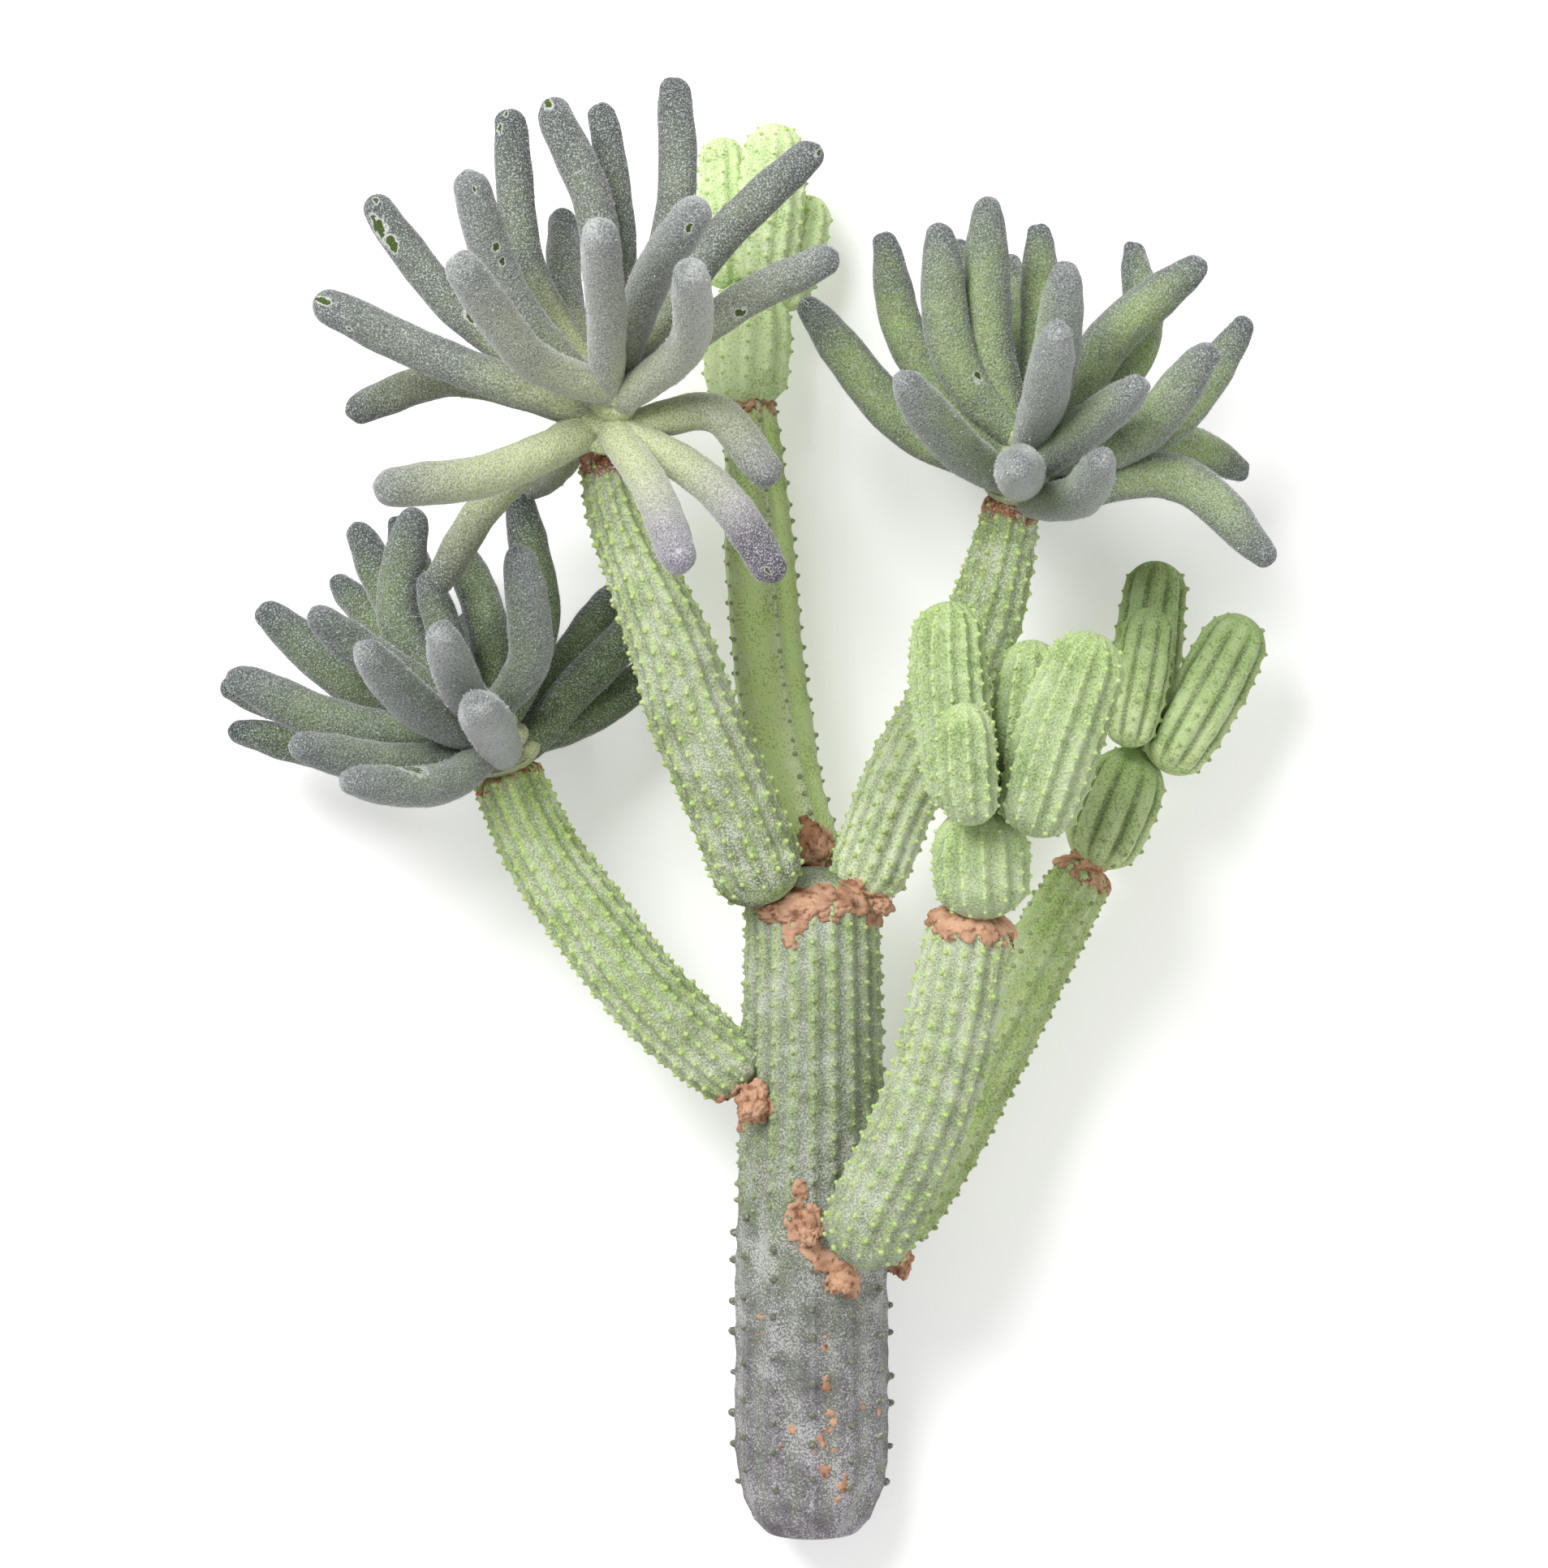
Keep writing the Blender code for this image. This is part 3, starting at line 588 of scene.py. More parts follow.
for cluster, segments in CLUSTERS.items():
    for segment, (line, radius, ribs) in segments.items():
        stem = Stem(line, [(share, part * radius) for share, part in BARREL], (0.8, 1.0))
        sharp = 2.4 if cluster == "side_cluster" else 0.9
        tint = 0.4 if cluster == "side_cluster" else 0.7
        relief = ribbed_relief(stem, ribs, 0.10 * radius, SEGMENT_SPACING, 1.0, 0.6, 0.0, sharp)
        node = cluster + "_" + segment
        parts = [skin(stem, RIB_POINTS * ribs, SKIN_STEP, relief)]
        place(solid(node + "_barrel", parts, CLUSTER_FOAM[cluster]), "segment_foam", node)
        add_tubercles(stem, ribs, SEGMENT_SPACING, (0.04, 0.97), 0.6, tint)


def new_tree(name, source, sizes, made):
    """An empty node tree that turns one geometry into another, with a named input for each size."""
    tree = bpy.data.node_groups.new(name, "GeometryNodeTree")
    tree.interface.new_socket(source, in_out="INPUT", socket_type="NodeSocketGeometry")
    sockets = {}
    for size in sizes:
        socket = tree.interface.new_socket(size, in_out="INPUT", socket_type="NodeSocketFloat")
        sockets[size] = socket.identifier
    tree.interface.new_socket(made, in_out="OUTPUT", socket_type="NodeSocketGeometry")
    return tree, sockets


def named_value(tree, name, kind):
    node = tree.nodes.new("GeometryNodeInputNamedAttribute")
    node.data_type = kind
    node.inputs["Name"].default_value = name
    return node.outputs["Attribute"]


def tubercle_tree(material):
    """Small round-tipped balls, stretched outwards, one on each marked place."""
    tree, sockets = new_tree("tubercles", "Places", ("Width", "Height"), "Tubercles")
    nodes = tree.nodes
    links = tree.links
    given = nodes.new("NodeGroupInput")
    result = nodes.new("NodeGroupOutput")
    ball = nodes.new("GeometryNodeMeshUVSphere")
    ball.inputs["Segments"].default_value = 8
    ball.inputs["Rings"].default_value = 4
    ball.inputs["Radius"].default_value = 1.0
    stretch = nodes.new("ShaderNodeCombineXYZ")
    shape = nodes.new("GeometryNodeTransform")
    links.new(given.outputs["Width"], stretch.inputs["X"])
    links.new(given.outputs["Width"], stretch.inputs["Y"])
    links.new(given.outputs["Height"], stretch.inputs["Z"])
    links.new(ball.outputs["Mesh"], shape.inputs["Geometry"])
    links.new(stretch.outputs["Vector"], shape.inputs["Scale"])
    aim = nodes.new("FunctionNodeAlignRotationToVector")
    aim.axis = "Z"
    links.new(named_value(tree, "out", "FLOAT_VECTOR"), aim.inputs["Vector"])
    copies = nodes.new("GeometryNodeInstanceOnPoints")
    links.new(given.outputs["Places"], copies.inputs["Points"])
    links.new(shape.outputs["Geometry"], copies.inputs["Instance"])
    links.new(aim.outputs["Rotation"], copies.inputs["Rotation"])
    links.new(named_value(tree, "size", "FLOAT"), copies.inputs["Scale"])
    real = nodes.new("GeometryNodeRealizeInstances")
    smooth = nodes.new("GeometryNodeSetShadeSmooth")
    paint = nodes.new("GeometryNodeSetMaterial")
    paint.inputs["Material"].default_value = material
    links.new(copies.outputs["Instances"], real.inputs["Geometry"])
    links.new(real.outputs["Geometry"], smooth.inputs["Geometry"])
    links.new(smooth.outputs["Geometry"], paint.inputs["Geometry"])
    links.new(paint.outputs["Geometry"], result.inputs[0])
    return tree, sockets


def bake_nodes(name, source, tree, sockets, values, material):
    """Runs a node tree on an object and keeps the result as a plain mesh object."""
    modifier = source.modifiers.new("nodes", "NODES")
    modifier.node_group = tree
    for label, value in values.items():
        modifier[sockets[label]] = value
    evaluated = source.evaluated_get(bpy.context.evaluated_depsgraph_get())
    mesh = bpy.data.meshes.new_from_object(evaluated)
    source.modifiers.remove(modifier)
    mesh.name = name
    if not mesh.materials:
        mesh.materials.append(material)
    return stand(name, mesh)


# The tubercles are moulded with the stems: small round-tipped bumps of the same foam, one
# on each swelling, paler than the stem they stand on.
TUBERCLE_SIZE = {"Width": 0.95 * MM, "Height": 1.25 * MM}


def tubercle_finish():
    """Foam from grey at the trunk's foot to pale green on the arms."""
    look = Finish("tubercle_foam", 0.75)
    color = look.ramp(look.value("tint"), [
        (0.0, srgb(104, 106, 96)), (0.3, srgb(140, 150, 112)), (0.6, srgb(176, 198, 122)),
        (1.0, srgb(194, 216, 140))])
    speck = look.mask(look.grain(1500.0, 1.0), 0.52, 0.7)
    color = look.blend(look.math("MULTIPLY", speck, 0.45), color, srgb(216, 222, 204))
    return look.finish(color, look.grain(1500.0, 1.0))


marks = bpy.data.meshes.new("tubercle_places")
marks.from_pydata((np.array(tubercles["points"]) * MM).tolist(), [], [])
ways = np.array(tubercles["out"], np.float32).reshape(-1)
marks.attributes.new("out", "FLOAT_VECTOR", "POINT").data.foreach_set("vector", ways)
for name in ("size", "tint"):
    data = np.array(tubercles[name], np.float32)
    marks.attributes.new(name, "FLOAT", "POINT").data.foreach_set("value", data)
places = stand("tubercle_places", marks)
tubercle_foam = tubercle_finish()
tubercle_nodes, tubercle_sockets = tubercle_tree(tubercle_foam)
place(bake_nodes("stem_tubercles", places, tubercle_nodes, tubercle_sockets, TUBERCLE_SIZE,
                 tubercle_foam), "arm_foam")
bpy.data.objects.remove(places)

# ================================================================ rosettes
# Each rosette is a stack of four moulded whorls. A whorl is one soft star of finger leaves
# on a small hub, coated all over with grey-white flock that has chipped off some tips.
ROSETTES = {
    # A leaf is its middle and its tip, in mm from the rosette's hub, and its width. chips,
    # purple and glow are kept by (whorl, place in the whorl): the bare spots of the leaf, how
    # violet it is towards its tip, and how pale and yellow it is towards its root.
    "tall_rosette": dict(hub=(-32, 99, 97), axis=(0.30, 0.64, 0.71), pointed=0.0, chips={
        (1, 1): [(0.98, 0.2, 1.6), (0.86, -0.6, 0.7), (0.70, 0.4, 0.5)],
        (1, 2): [(0.90, -0.7, 2.2), (0.83, -0.5, 1.6), (0.50, 0.2, 1.3), (0.97, 0.3, 0.8)],
        (1, 3): [(0.97, 0.2, 0.7)],
        (1, 4): [(0.96, -0.1, 0.6)],
        (2, 0): [(0.93, -0.5, 0.9), (0.98, 0.0, 0.8)],
        (2, 2): [(0.99, 0.1, 1.7)],
        (2, 4): [(0.74, 0.1, 1.0), (0.68, 0.2, 0.9), (0.95, 0.0, 0.6)],
        (2, 5): [(0.98, 0.3, 1.1)],
        (3, 1): [(0.58, 0.2, 1.2)],
        (3, 3): [(0.62, 0.5, 0.8)],
        (3, 4): [(0.93, 0.4, 1.0), (0.84, 0.7, 0.7)],
        (0, 3): [(0.97, 0.0, 0.6)],
    }, purple={(1, 4): 0.7, (1, 3): 1.0, (1, 5): 0.2}, glow={
        (0, 0): 0.6, (0, 1): 0.6, (0, 3): 0.25, (0, 5): 0.9, (1, 3): 0.7, (1, 4): 0.9, (1, 5): 0.7,
        (3, 2): 0.15, (3, 3): 0.3, (3, 1): 0.2, (3, 0): 0.25,
    }, whorls=[
        [((-12, -10, -28), (-21, -16, -55), 9.0), ((-30, -23, -10), (-43, -43, -20), 8.6),
         ((-8, -2, -32), (-12, -8, -64), 8.6), ((-38, 8, -17), (-65, 1, -34), 9.0),
         ((4, 11, -33), (6, 19, -66), 8.6), ((-29, -17, 15), (-54, -21, 30), 10.4)],
        [((-11, 26, -23), (-13, 51, -46), 8.6), ((-37, 10, 4), (-70, 25, 8), 10.0),
         ((-37, 24, -5), (-58, 51, -10), 9.0), ((25, -20, 14), (40, -42, 28), 9.6),
         ((10, -20, 20), (18, -40, 40), 9.6), ((25, -2, 7), (39, -19, 14), 9.4)],
        [((-20, 34, -9), (-25, 73, -18), 9.2), ((2, 40, -11), (-3, 75, -22), 8.2),
         ((-3, 44, -2), (-15, 74, -4), 9.8), ((15, 46, -6), (15, 80, -12), 9.4),
         ((-23, 25, 15), (-33, 53, 30), 10.0), ((25, 39, -3), (50, 63, -6), 9.4)],
        [((-18, 10, 26), (-34, 31, 52), 10.0), ((29, 23, 9), (54, 35, 18), 9.0),
         ((0, 19, 29), (-1, 38, 58), 9.6), ((19, 13, 31), (20, 28, 62), 9.6),
         ((10, 28, 23), (22, 44, 46), 10.0)],
    ]),
    "right_rosette": dict(hub=(68, 88, 57), axis=(0.12, 0.90, 0.40), pointed=1.0, chips={
        (3, 3): [(0.50, 0.7, 0.9)],
        (3, 1): [(0.35, 0.6, 1.0)],
        (1, 0): [(0.98, 0.0, 0.8)],
    }, purple={}, glow={}, whorls=[
        [((1, -5, -27), (2, -9, -56.5), 9.4), ((9, 1, -27), (19, 5, -56.5), 9.6),
         ((-5, 5, -27), (-12, 14, -56.5), 9.6), ((37, -4, 8), (60, -25, 15), 10.6),
         ((37, 6, -21), (58, 0, -42), 9.8), ((13, -9, 25), (17, -1, 50), 10.0)],
        [((-29, 10, -4), (-54, 41, -8), 10.6), ((-2, -4, 31), (-4, -4, 62), 11.4),
         ((-1, 26, -25), (-1, 55, -49), 9.6), ((36, 10, -3), (56, 36, -6), 9.8),
         ((-18, 4, 22), (-31, 18, 45), 10.8), ((-11, 28, -18), (-15, 58, -36), 9.6)],
        [((-27, 29, -8), (-34, 58, -16), 10.0), ((29, 29, -16), (29, 57, -32), 9.6),
         ((27, 6, 12), (45, 27, 24), 10.8), ((14, 7, 20), (27, 17, 40), 10.0),
         ((5, 31, -13), (5, 61, -26), 9.8), ((22, 31, -2), (45, 50, -4), 11.0)],
        [((4, 14, 27), (6, 29, 54), 10.6), ((-17, 26, 5), (-21, 58, 10), 11.0),
         ((-8, 30, 2), (-9, 65, 4), 11.0), ((7, 23, 17), (9, 46, 34), 10.6)],
    ]),
    "left_rosette": dict(hub=(-61, 22, 57), axis=(-0.32, 0.84, 0.40), pointed=0.8, chips={
        (1, 1): [(0.66, 0.5, 2.7)],
    }, purple={}, glow={}, whorls=[
        [((7, 2, -27), (14, 9, -56.5), 9.4), ((21, 4, -18), (43, 19, -36), 9.6),
         ((-11, 3, -27), (-25, 11, -56.5), 9.4), ((20, 12, -11), (40, 32, -22), 10.0),
         ((15, 14, -18), (29, 37, -36), 10.0), ((-4, 12, -26), (-10, 30, -52), 9.2)],
        [((-37, -5, -13), (-68, 1, -26), 9.4), ((-14, -13, 24), (-34, -12, 48), 9.8),
         ((-39, 3, -14), (-70, 12, -28), 9.6), ((-25, -8, 15), (-48, -3, 30), 10.2),
         ((-23, 20, -21), (-43, 39, -42), 9.4), ((0, 1, 30), (-2, 6, 60), 11.4)],
        [((-3, 26, -18), (-12, 49, -36), 10.0), ((-35, 1, 6), (-65, 14, 12), 11.0),
         ((-14, 24, -15), (-27, 54, -30), 9.4), ((-32, 10, -4), (-59, 31, -8), 11.0),
         ((10, 28, -9), (4, 61, -18), 10.0), ((-18, 6, 23), (-30, 20, 46), 10.4)],
        [((-7, 10, 27), (-11, 24, 54), 10.2), ((-22, 26, -7), (-36, 52, -14), 10.0),
         ((-25, 15, 11), (-44, 29, 22), 9.8), ((9, 19, 18), (7, 44, 36), 10.4),
         ((-23, 26, 2), (-20, 55, 4), 11.0), ((-10, 18, 5), (-17, 39, 10), 8.6)],
    ]),
}
WHORL_PITCH = 4.7                       # mm between whorls
LEAF_TURN_OUT = (8.0, 7.0, 6.0, 3.0)    # mm a leaf runs sideways, for each whorl
HUB_RADII = (9.0, 7.4, 6.0, 5.4)        # mm, for each whorl
HUB_THICK = 6.8                         # mm
LEAF_SIDES = 28
LEAF_STEP = 1.1                         # mm between rings
# Painted light by height: leaves whose tips reach higher, towards the lamp, take more of the pale
# frost, beside the real frost of the flock.
FROST_AND_LIGHT_FROM = -25.0                      # mm above the hub: tips below it carry no frost,
FROST_AND_LIGHT_RISE = 85.0                       # and tips this much higher carry it in full
FIBRES = {"Density": 0.65 / MM ** 2, "Length": 0.5 * MM, "Width": 0.06 * MM}
CRUMBS = {"Density": 0.012 / MM ** 2, "Length": 0.5 * MM, "Width": 0.26 * MM}


def leaf_profile(half, pointed):
    """Radius along a finger leaf: blunt like a finger, or pointed like a lance."""
    shares = (0.0, 0.12, 0.3, 0.55, 0.8, 0.92, 1.0)
    blunt = (0.80, 0.86, 0.94, 0.98, 1.0, 0.90, 0.74)
    lance = (0.66, 0.80, 0.98, 1.08, 0.98, 0.74, 0.46)
    return [(share, half * (round_part * (1.0 - pointed) + lance_part * pointed))
            for share, round_part, lance_part in zip(shares, blunt, lance)]


def finger_leaf(hub, axis, level, middle, tip, width, pointed, mark, chips, purple, glow):
    """One leaf: it leaves the hub sideways, bends away and ends in a rounded tip.

    chips are (share, angle, radius in mm) spots where the flock has come off.
    """
    height = (level - 1.5) * WHORL_PITCH
    out = np.array(middle, float) - axis * height
    out -= axis * out.dot(axis)
    out /= np.linalg.norm(out)
    root = hub + axis * height
    line = [root, root + out * LEAF_TURN_OUT[level], hub + np.array(middle), hub + np.array(tip)]
    stem = Stem(line, leaf_profile(width / 2.0, pointed), (0.5, 1.0 - 0.1 * pointed))

    def relief(share, angle):
        wave = (np.sin(share * 17.0 + mark * 5.0 + angle) * np.sin(2.0 * angle + mark * 9.0)
                + 0.6 * np.sin(share * 41.0 + 3.0 * angle + mark * 3.0))
        near_tip = np.clip((share - 0.84) / 0.16, 0.0, 1.0)
        ridge = 0.28 * np.exp(-((np.cos(angle) - 1.0) / 0.03) ** 2) * np.sin(math.pi * share)
        lift = wave * (0.12 + 0.22 * near_tip) + ridge * pointed
        chip = np.zeros_like(share)
        for at, turn, radius in chips:
            away = (share - at) * stem.length
            around = np.mod(angle - turn + math.pi, 2.0 * math.pi) - math.pi
            away = np.sqrt(away ** 2 * 0.45 + (around * width / 2.0) ** 2)
            chip = np.maximum(chip, np.clip(1.25 - away / (radius * 1.5), 0.0, 1.0))
        lift = lift - 0.35 * np.clip(chip * 2.0, 0.0, 1.0)
        violet = purple * np.clip((share - 0.42) / 0.4, 0.0, 1.0)
        # How far round from a leaf's upper side to its underside, which is painted in shade.
        flank = 0.5 - 0.5 * np.cos(angle)
        # The frost grows with the tip's height: partly the flock's own frost, partly painted light
        # on the higher leaves.
        frost = min(max((tip[2] - FROST_AND_LIGHT_FROM) / FROST_AND_LIGHT_RISE, 0.0), 1.0) * (1.0 - 0.2 * pointed)
        return lift, {"along": share, "chip": chip, "purple": violet, "flank": flank,
                      "frost": np.full_like(share, frost), "glow": np.full_like(share, glow)}

    return skin(stem, LEAF_SIDES, LEAF_STEP, relief)


def hub_disc(hub, axis, level):
    """The hub of a whorl: a flattened ball around the rosette's axis."""
    centre = hub + axis * (level - 1.5) * WHORL_PITCH
    line = [centre - axis * HUB_THICK / 2, centre, centre + axis * HUB_THICK / 2]
    stem = Stem(line, [(0.0, HUB_RADII[level]), (1.0, HUB_RADII[level])], (0.45, 0.45))

    def relief(share, angle):
        none = np.zeros_like(share)
        # The hub carries the glow in full: painted light that makes it paler and yellower where it
        # sits in shade among the leaves.
        return none, {"along": none, "chip": none, "purple": none, "flank": none,
                      "frost": none + 0.1, "glow": none + 1.0}

    return skin(stem, 24, 1.2, relief)


def flock_finish(name, base, middle, tip, flank, frost):
    """Green rubbery plastic under a coat of short grey-white fibres.

    base, middle and tip are the colours along a leaf, flank is the painted shade on its sides
    and underside, and frost is the colour of the fibres.
    """
    look = Finish(name, 0.95)
    body = look.ramp(look.value("along"), [(0.0, base), (0.25, base), (0.50, middle),
                                           (0.70, middle), (1.0, tip)])
    patchy = look.math("MULTIPLY", look.mask(look.grain(110.0, 2.0), 0.40, 0.66), 0.35)
    body = look.blend(patchy, body, tip)
    # Painted shade: the leaf darkens to its flank colour round its sides and underside, away from
    # the lamp.
    uneven = look.math("MULTIPLY", look.grain(300.0, 2.0), 0.25)
    sides = look.math("ADD", look.value("flank"), uneven)
    body = look.blend(look.math("MULTIPLY", look.mask(sides, 0.16, 0.55), 0.7), body, flank)
    # Pale frost, stronger round the sides and on higher leaves: partly the flock's own grey-white
    # frost, partly a painted pale rim for the sheen and painted light on the upper leaves.
    frost_and_rim_light = look.math("ADD", look.math("MULTIPLY", look.value("flank"), 0.5), 0.45)
    frost_and_height_light = look.math("MULTIPLY", look.value("frost"), frost_and_rim_light)
    body = look.blend(frost_and_height_light, body, srgb(176, 179, 178))
    # Paler and yellower towards the root by the glow value; on the hubs, which carry it in full,
    # this is painted light where they sit in shade.
    glow = look.math("MULTIPLY", look.value("glow"), look.mask(look.value("along"), 1.1, 0.5))
    body = look.blend(look.math("MULTIPLY", glow, 0.75), body, srgb(206, 214, 158))
    violet = look.ramp(look.value("purple"), [
        (0.0, srgb(180, 174, 190)), (0.65, srgb(160, 150, 172)), (1.0, srgb(92, 82, 100))])
    body = look.blend(look.math("MULTIPLY", look.value("purple"), 0.85), body, violet)
    speck = look.mask(look.grain(2500.0, 1.0), 0.50, 0.66)
    body = look.blend(look.math("MULTIPLY", speck, 0.55), body, frost)
    pits = look.mask(look.grain(2100.0, 1.0), 0.52, 0.38)
    body = look.blend(look.math("MULTIPLY", pits, 0.7), body, (0.50, 0.53, 0.50, 1.0), "MULTIPLY")
    ragged = look.math("MULTIPLY", look.grain(600.0, 3.0), 1.3)
    torn = look.math("ADD", look.value("chip"), ragged)
    crust = look.math("MULTIPLY", look.mask(torn, 0.92, 1.25), 0.7)
    body = look.blend(crust, body, srgb(206, 209, 205))
    body = look.blend(look.mask(torn, 1.28, 1.36), body, srgb(72, 88, 44))
    look.shader.inputs["Sheen Weight"].default_value = 0.55
    look.shader.inputs["Sheen Roughness"].default_value = 0.3
    look.shader.inputs["Sheen Tint"].default_value = (0.95, 0.96, 1.0, 1.0)
    look.shader.inputs["Specular IOR Level"].default_value = 0.1
    return look.finish(body, look.grain(1500.0, 2.0), 0.0005, 0.9)


FLOCK = {
    "tall_rosette": flock_finish("tall_flock", srgb(168, 178, 124), srgb(112, 120, 102),
                                 srgb(72, 78, 80), srgb(88, 92, 90), srgb(212, 214, 214)),
    "right_rosette": flock_finish("right_flock", srgb(146, 166, 104), srgb(146, 168, 104),
                                  srgb(80, 84, 90), srgb(84, 90, 90), srgb(204, 207, 209)),
    "left_rosette": flock_finish("left_flock", srgb(108, 126, 78), srgb(106, 124, 80),
                                 srgb(64, 70, 76), srgb(68, 74, 74), srgb(198, 201, 204)),
}


def flock_tree(material):
    """Short upright fibres scattered over a flocked skin."""
    tree, sockets = new_tree("flock", "Skin", ("Density", "Length", "Width"), "Fibres")
    nodes = tree.nodes
    links = tree.links
    given = nodes.new("NodeGroupInput")
    result = nodes.new("NodeGroupOutput")
    spread = nodes.new("GeometryNodeDistributePointsOnFaces")
    spread.inputs["Seed"].default_value = 7
    links.new(given.outputs["Skin"], spread.inputs["Mesh"])
    links.new(given.outputs["Density"], spread.inputs["Density"])
    fibre = nodes.new("GeometryNodeMeshCone")
    fibre.inputs["Vertices"].default_value = 3
    fibre.inputs["Side Segments"].default_value = 1
    fibre.inputs["Radius Top"].default_value = 0.0
    links.new(given.outputs["Width"], fibre.inputs["Radius Bottom"])
    links.new(given.outputs["Length"], fibre.inputs["Depth"])
    lean = nodes.new("FunctionNodeRandomValue")
    lean.data_type = "FLOAT_VECTOR"
    lean.inputs["Min"].default_value = (-0.6, -0.6, -0.6)
    lean.inputs["Max"].default_value = (0.6, 0.6, 0.6)
    lean.inputs["Seed"].default_value = 3
    tilt = nodes.new("ShaderNodeVectorMath")
    tilt.operation = "ADD"
    links.new(spread.outputs["Normal"], tilt.inputs[0])
    links.new(lean.outputs["Value"], tilt.inputs[1])
    aim = nodes.new("FunctionNodeAlignRotationToVector")
    aim.axis = "Z"
    links.new(tilt.outputs["Vector"], aim.inputs["Vector"])
    copies = nodes.new("GeometryNodeInstanceOnPoints")
    links.new(spread.outputs["Points"], copies.inputs["Points"])
    links.new(fibre.outputs["Mesh"], copies.inputs["Instance"])
    links.new(aim.outputs["Rotation"], copies.inputs["Rotation"])
    real = nodes.new("GeometryNodeRealizeInstances")
    paint = nodes.new("GeometryNodeSetMaterial")
    paint.inputs["Material"].default_value = material
    links.new(copies.outputs["Instances"], real.inputs["Geometry"])
    links.new(real.outputs["Geometry"], paint.inputs["Geometry"])
    links.new(paint.outputs["Geometry"], result.inputs[0])
    return tree, sockets


def fibre_finish():
    """Loose fibres and crumbs of flock, from grey to nearly white."""
    look = Finish("flock_fibre", 0.9)
    tone = look.mask(look.grain(500.0, 1.0), 0.3, 0.7)
    return look.finish(look.blend(tone, srgb(168, 174, 162), srgb(216, 218, 220)))


fibre_coat = fibre_finish()
flock_nodes, flock_sockets = flock_tree(fibre_coat)
for rosette_name, rosette in ROSETTES.items():
    hub = np.array(rosette["hub"], float)
    axis = np.array(rosette["axis"], float)
    axis /= np.linalg.norm(axis)
    for level, leaves in enumerate(rosette["whorls"]):
        node = rosette_name + "_whorl_" + str(level + 1)
        parts = [hub_disc(hub, axis, level)]
        for k, (middle, tip, width) in enumerate(leaves):
            chips = rosette["chips"].get((level, k), [])
            purple = rosette["purple"].get((level, k), 0.0)
            glow = rosette["glow"].get((level, k), 0.0)
            mark = level * 1.37 + k * 0.61
            parts.append(finger_leaf(hub, axis, level, middle, tip, width, rosette["pointed"], mark,
                                     chips, purple, glow))
        whorl = solid(node + "_leaves", parts, FLOCK[rosette_name])
        place(whorl, "leaf_flock", node)
        for coat, values in (("_fibres", FIBRES), ("_crumbs", CRUMBS)):
            place(bake_nodes(node + coat, whorl, flock_nodes, flock_sockets, values, fibre_coat),
                  "leaf_flock")

# ================================================================ putty
# Brown filler pressed by hand round every joint. Small lumps fill the corners at the feet of
# the arms, and thin smears spread from them over the stems. Under the rosettes it is rusty.
PUTTY_LUMPS = {              # a lump's size as a part of its CAD node's
    "putty_arm_left_foot": 0.66, "putty_arm_tall_foot": 0.76, "putty_arm_right_foot": 0.42,
    "putty_arm_back_foot": 0.80, "putty_arm_low_front_foot": 0.50,
    "putty_arm_low_front_heel": 0.55, "putty_arm_low_back_foot": 0.8,
    "putty_side_cluster": 0.66, "putty_back_cluster": 0.60,
}
TRUNK_SPOTS = [              # x, y and radius in mm
    (4, -17, 3.5), (9, -18, 4.6), (13, -21, 4.4), (12, -25, 3.2), (10.5, -29, 2.2), (19, -17, 3.0),
    (26, -17, 4.0), (28, -20.5, 3.2), (24, -20, 2.2), (31.5, -24, 2.4), (22, -24, 1.2),
    (1.5, -69.5, 4.6), (4.5, -70.5, 2.8), (-1.5, -75.5, 1.8),
    (13, -91, 2.6), (12.5, -96, 2.6), (13, -101, 3.4), (10, -99, 1.6), (16, -105, 3.4),
    (20, -108.5, 3.6), (24, -111, 3.0), (22, -114, 2.6), (26, -115.5, 2.8),
]
TRUNK_STAINS = [             # x, y and radius in mm
    (19.6, -128, 0.9), (19.6, -130.5, 1.4), (20.0, -137.5, 1.2), (20.3, -140.5, 2.0),
    (19.4, -143.8, 1.0), (21.2, -147.5, 1.7), (21.8, -149.5, 1.4), (20.6, -151.5, 1.3),
    (19.2, -154.0, 2.0), (22.2, -156.5, 1.0), (17.0, -156.2, 1.3), (20.4, -158.0, 0.8),
    (19.7, -161.5, 2.0), (24.8, -163.0, 1.1), (24.0, -166.0, 1.7), (23.4, -168.8, 1.2),
    (11.2, -151.5, 1.7), (9.0, -155.8, 1.1), (26.0, -151.5, 1.0), (27.5, -153.5, 0.8),
    (29.8, -146.0, 0.8), (33.5, -148.0, 1.0), (3.2, -119, 1.4), (2.8, -123, 1.1), (2.6, -128, 0.8),
]


LUMP_LEVEL = 5               # subdivisions of a lump's ball
SMEAR_STEP = (0.6, 0.55)     # mm between a smear's points, along and around the stem
SMEAR_SUNK = 1.5             # mm that a smear lies under the foam where it doesn't show


def putty_finish(name, dark, light):
    """Dull filler between two browns, cracked and dusty."""
    look = Finish(name, 0.9)
    tone = look.mask(look.grain(260.0, 4.0), 0.32, 0.62)
    color = look.blend(tone, dark, light)
    cracks = look.mask(look.grain(520.0, 3.0), 0.46, 0.34)
    depth = look.math("MULTIPLY", cracks, 0.7)
    color = look.blend(depth, color, (0.45, 0.38, 0.32, 1.0), "MULTIPLY")
    dust = look.mask(look.grain(1500.0, 1.0), 0.60, 0.80)
    color = look.blend(look.math("MULTIPLY", dust, 0.4), color, srgb(228, 204, 182))
    return look.finish(color, look.grain(380.0, 5.0), 0.0008, 0.8)


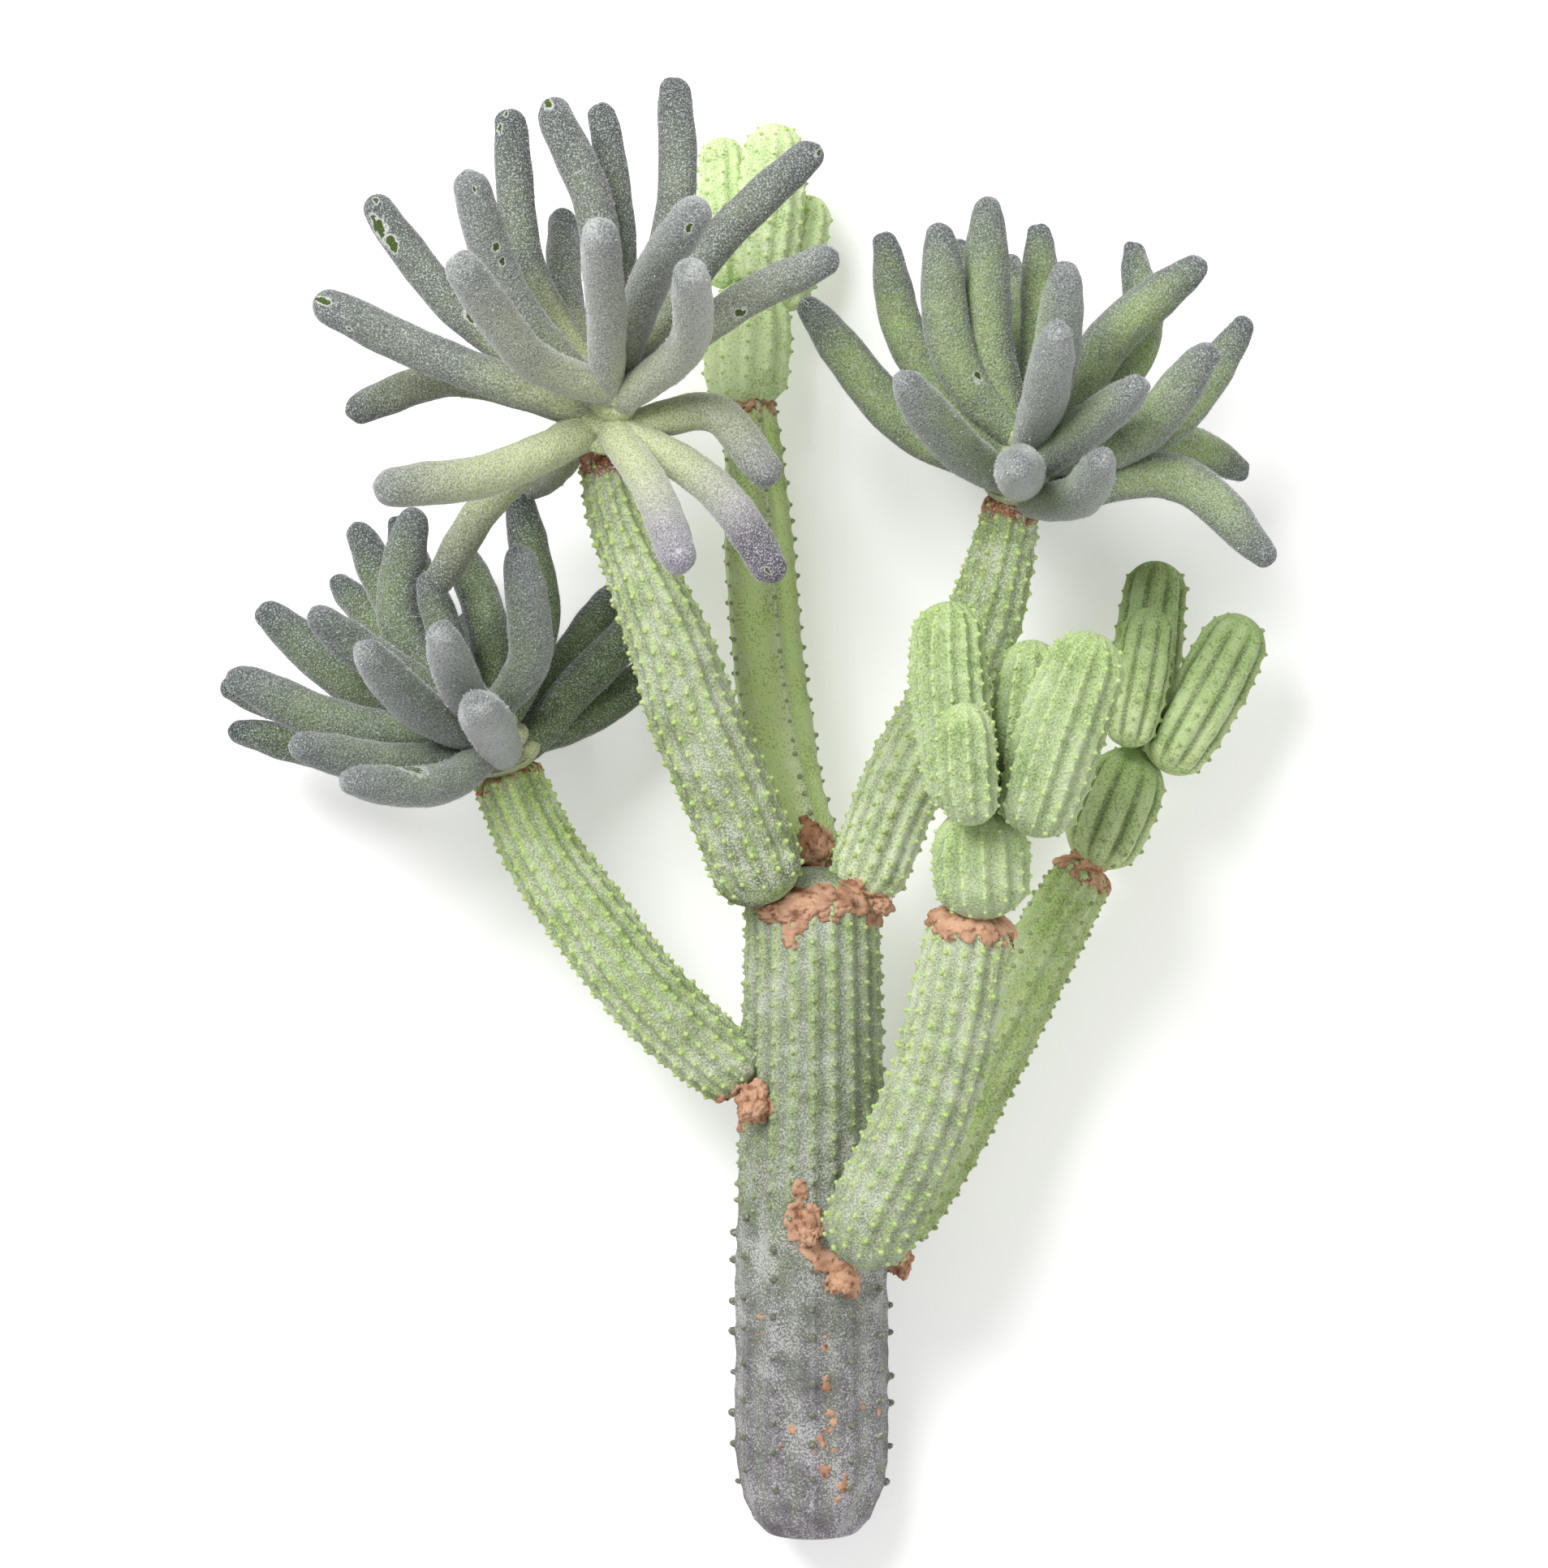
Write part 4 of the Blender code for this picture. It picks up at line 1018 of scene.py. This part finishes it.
def putty_lump(node, size, material, seed):
    """A rough lump in the middle of a CAD node's box."""
    low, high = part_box(node)
    centre = (low + high) / 2
    half = (high - low) / 2 * size
    mesh = bmesh.new()
    bmesh.ops.create_icosphere(mesh, subdivisions=LUMP_LEVEL, radius=1.0)
    for vert in mesh.verts:
        way = vert.co.normalized()
        rough = noise.fractal(way * 1.4 + Vector((seed * 3.7, 0, 0)), 0.7, 2.0, 5)
        way = way * (1.0 + 0.34 * rough)
        vert.co = Vector((way.x * half.x, way.y * half.y, way.z * half.z)) + centre
    data = bpy.data.meshes.new(node + "_lump")
    mesh.to_mesh(data)
    mesh.free()
    data.shade_smooth()
    data.materials.append(material)
    place(stand(node + "_lump", data), "joint_putty", node)


def putty_smear(name, carrier, span, spots, ring, thickness, material, nodes, seed):
    """A thin smear on a stem. It lies hidden in the foam except where a spot lifts it out.

    spots are (x, y, radius) in mm on the stem's upper half. ring is (share, half width in mm,
    cover): a band all round the stem that is broken where the cover is low.
    """
    stem, relief = stems[carrier]
    start, end = span
    rows = int((end - start) * stem.length / SMEAR_STEP[0]) + 2
    sides = int(2.0 * math.pi * stem.radius(0.5) / SMEAR_STEP[1])
    shares = np.linspace(start, end, rows)
    angles = np.linspace(0.0, 2.0 * math.pi, sides, endpoint=False)
    share, angle = np.meshgrid(shares, angles, indexing="ij")
    points, out = stem.point(share, angle)
    rough = np.array([noise.fractal(Vector(point) * 0.42 + Vector((seed, 0, 0)), 0.7, 2.0, 5)
                      for point in points.reshape(-1, 3)]).reshape(share.shape)
    cover = np.full(share.shape, -1.0)
    for x, y, radius in spots:
        away = np.hypot(points[..., 0] - x, points[..., 1] - y)
        here = np.where(out[..., 2] > -0.15, (radius - away) / 1.3, -1.0)
        cover = np.maximum(cover, here + 0.8 * rough + 0.12)
    if ring:
        at, half, amount = ring
        band = (half - np.abs(share - at) * stem.length) / 2.5
        cover = np.maximum(cover, np.minimum(band, amount) + 1.1 * rough)
    cover = np.clip(cover / 0.4, 0.0, 1.0)
    cover = cover * cover * (3.0 - 2.0 * cover)
    layer = cover * (SMEAR_SUNK + thickness * (1.0 + 0.6 * rough))
    lift = relief(share, angle)[0] - SMEAR_SUNK + layer
    lift[0] = lift[-1] = -SMEAR_SUNK - 1.0
    points, _ = stem.point(share, angle, lift)
    verts = np.vstack([stem.read(stem.dense, start)[None], points.reshape(-1, 3),
                       stem.read(stem.dense, end)[None]])
    smear = solid(name, [(verts, tube_faces(rows, sides), {})], material)
    place(smear, "joint_putty", *nodes)


putty = putty_finish("putty", srgb(158, 116, 90), srgb(202, 160, 132))
rust_putty = putty_finish("rusty_putty", srgb(140, 92, 66), srgb(186, 138, 108))
for seed, (node, size) in enumerate(PUTTY_LUMPS.items()):
    putty_lump(node, size, putty, seed)
SMEARS = [
    # name, stem, span of shares, spots, ring, thickness in mm, putty, CAD nodes, seed
    ("trunk_smear", "trunk", (0.03, 0.995), TRUNK_SPOTS, None, 0.5, putty, [], 0.0),
    ("trunk_stains", "trunk", (0.05, 0.36), TRUNK_STAINS, None, 0.12, putty, [], 5.0),
    ("arm_left_smear", "arm_left", (0.02, 0.2),
     [(0.5, -68.5, 4.5), (-3, -71, 1.8), (-6, -68.5, 1.2)], None, 0.8, putty, [], 4.0),
    ("arm_tall_smear", "arm_tall", (0.0, 0.12),
     [(4, -29, 3.0), (9, -28, 4.0), (14, -25, 3.5)], None, 0.7, putty, [], 9.0),
    ("arm_right_smear", "arm_right", (0.0, 0.12),
     [(26, -17, 3.5), (30, -20, 3.0), (33, -20, 2.6)], None, 0.7, putty, [], 14.0),
    ("arm_back_smear", "arm_back", (0.0, 0.2),
     [(16.5, -8, 4.5), (16, -2.5, 3.0), (14.5, 0, 1.6)], None, 0.9, rust_putty, [], 19.0),
    ("arm_low_front_smear", "arm_low_front", (0.86, 0.999), [], (0.975, 4.2, 1.2), 0.9,
     putty, ["putty_front_cluster"], 24.0),
    ("arm_low_back_smear", "arm_low_back", (0.86, 0.999), [], (0.985, 3.4, 0.45), 0.6,
     putty, ["putty_side_cluster"], 29.0),
    ("arm_back_top_smear", "arm_back", (0.9, 0.999), [], (0.985, 2.6, 0.35), 0.7,
     putty, ["putty_back_cluster"], 34.0),
    ("arm_tall_top_smear", "arm_tall", (0.86, 0.999), [], (0.985, 5.0, 0.6), 0.5,
     rust_putty, ["putty_tall_rosette"], 39.0),
    ("arm_right_top_smear", "arm_right", (0.84, 0.999), [], (0.98, 4.2, 0.25), 0.5,
     rust_putty, ["putty_right_rosette"], 44.0),
    ("arm_left_top_smear", "arm_left", (0.84, 0.999), [], (0.98, 3.0, 0.1), 0.4,
     rust_putty, ["putty_left_rosette"], 49.0),
]
for smear in SMEARS:
    putty_smear(*smear)
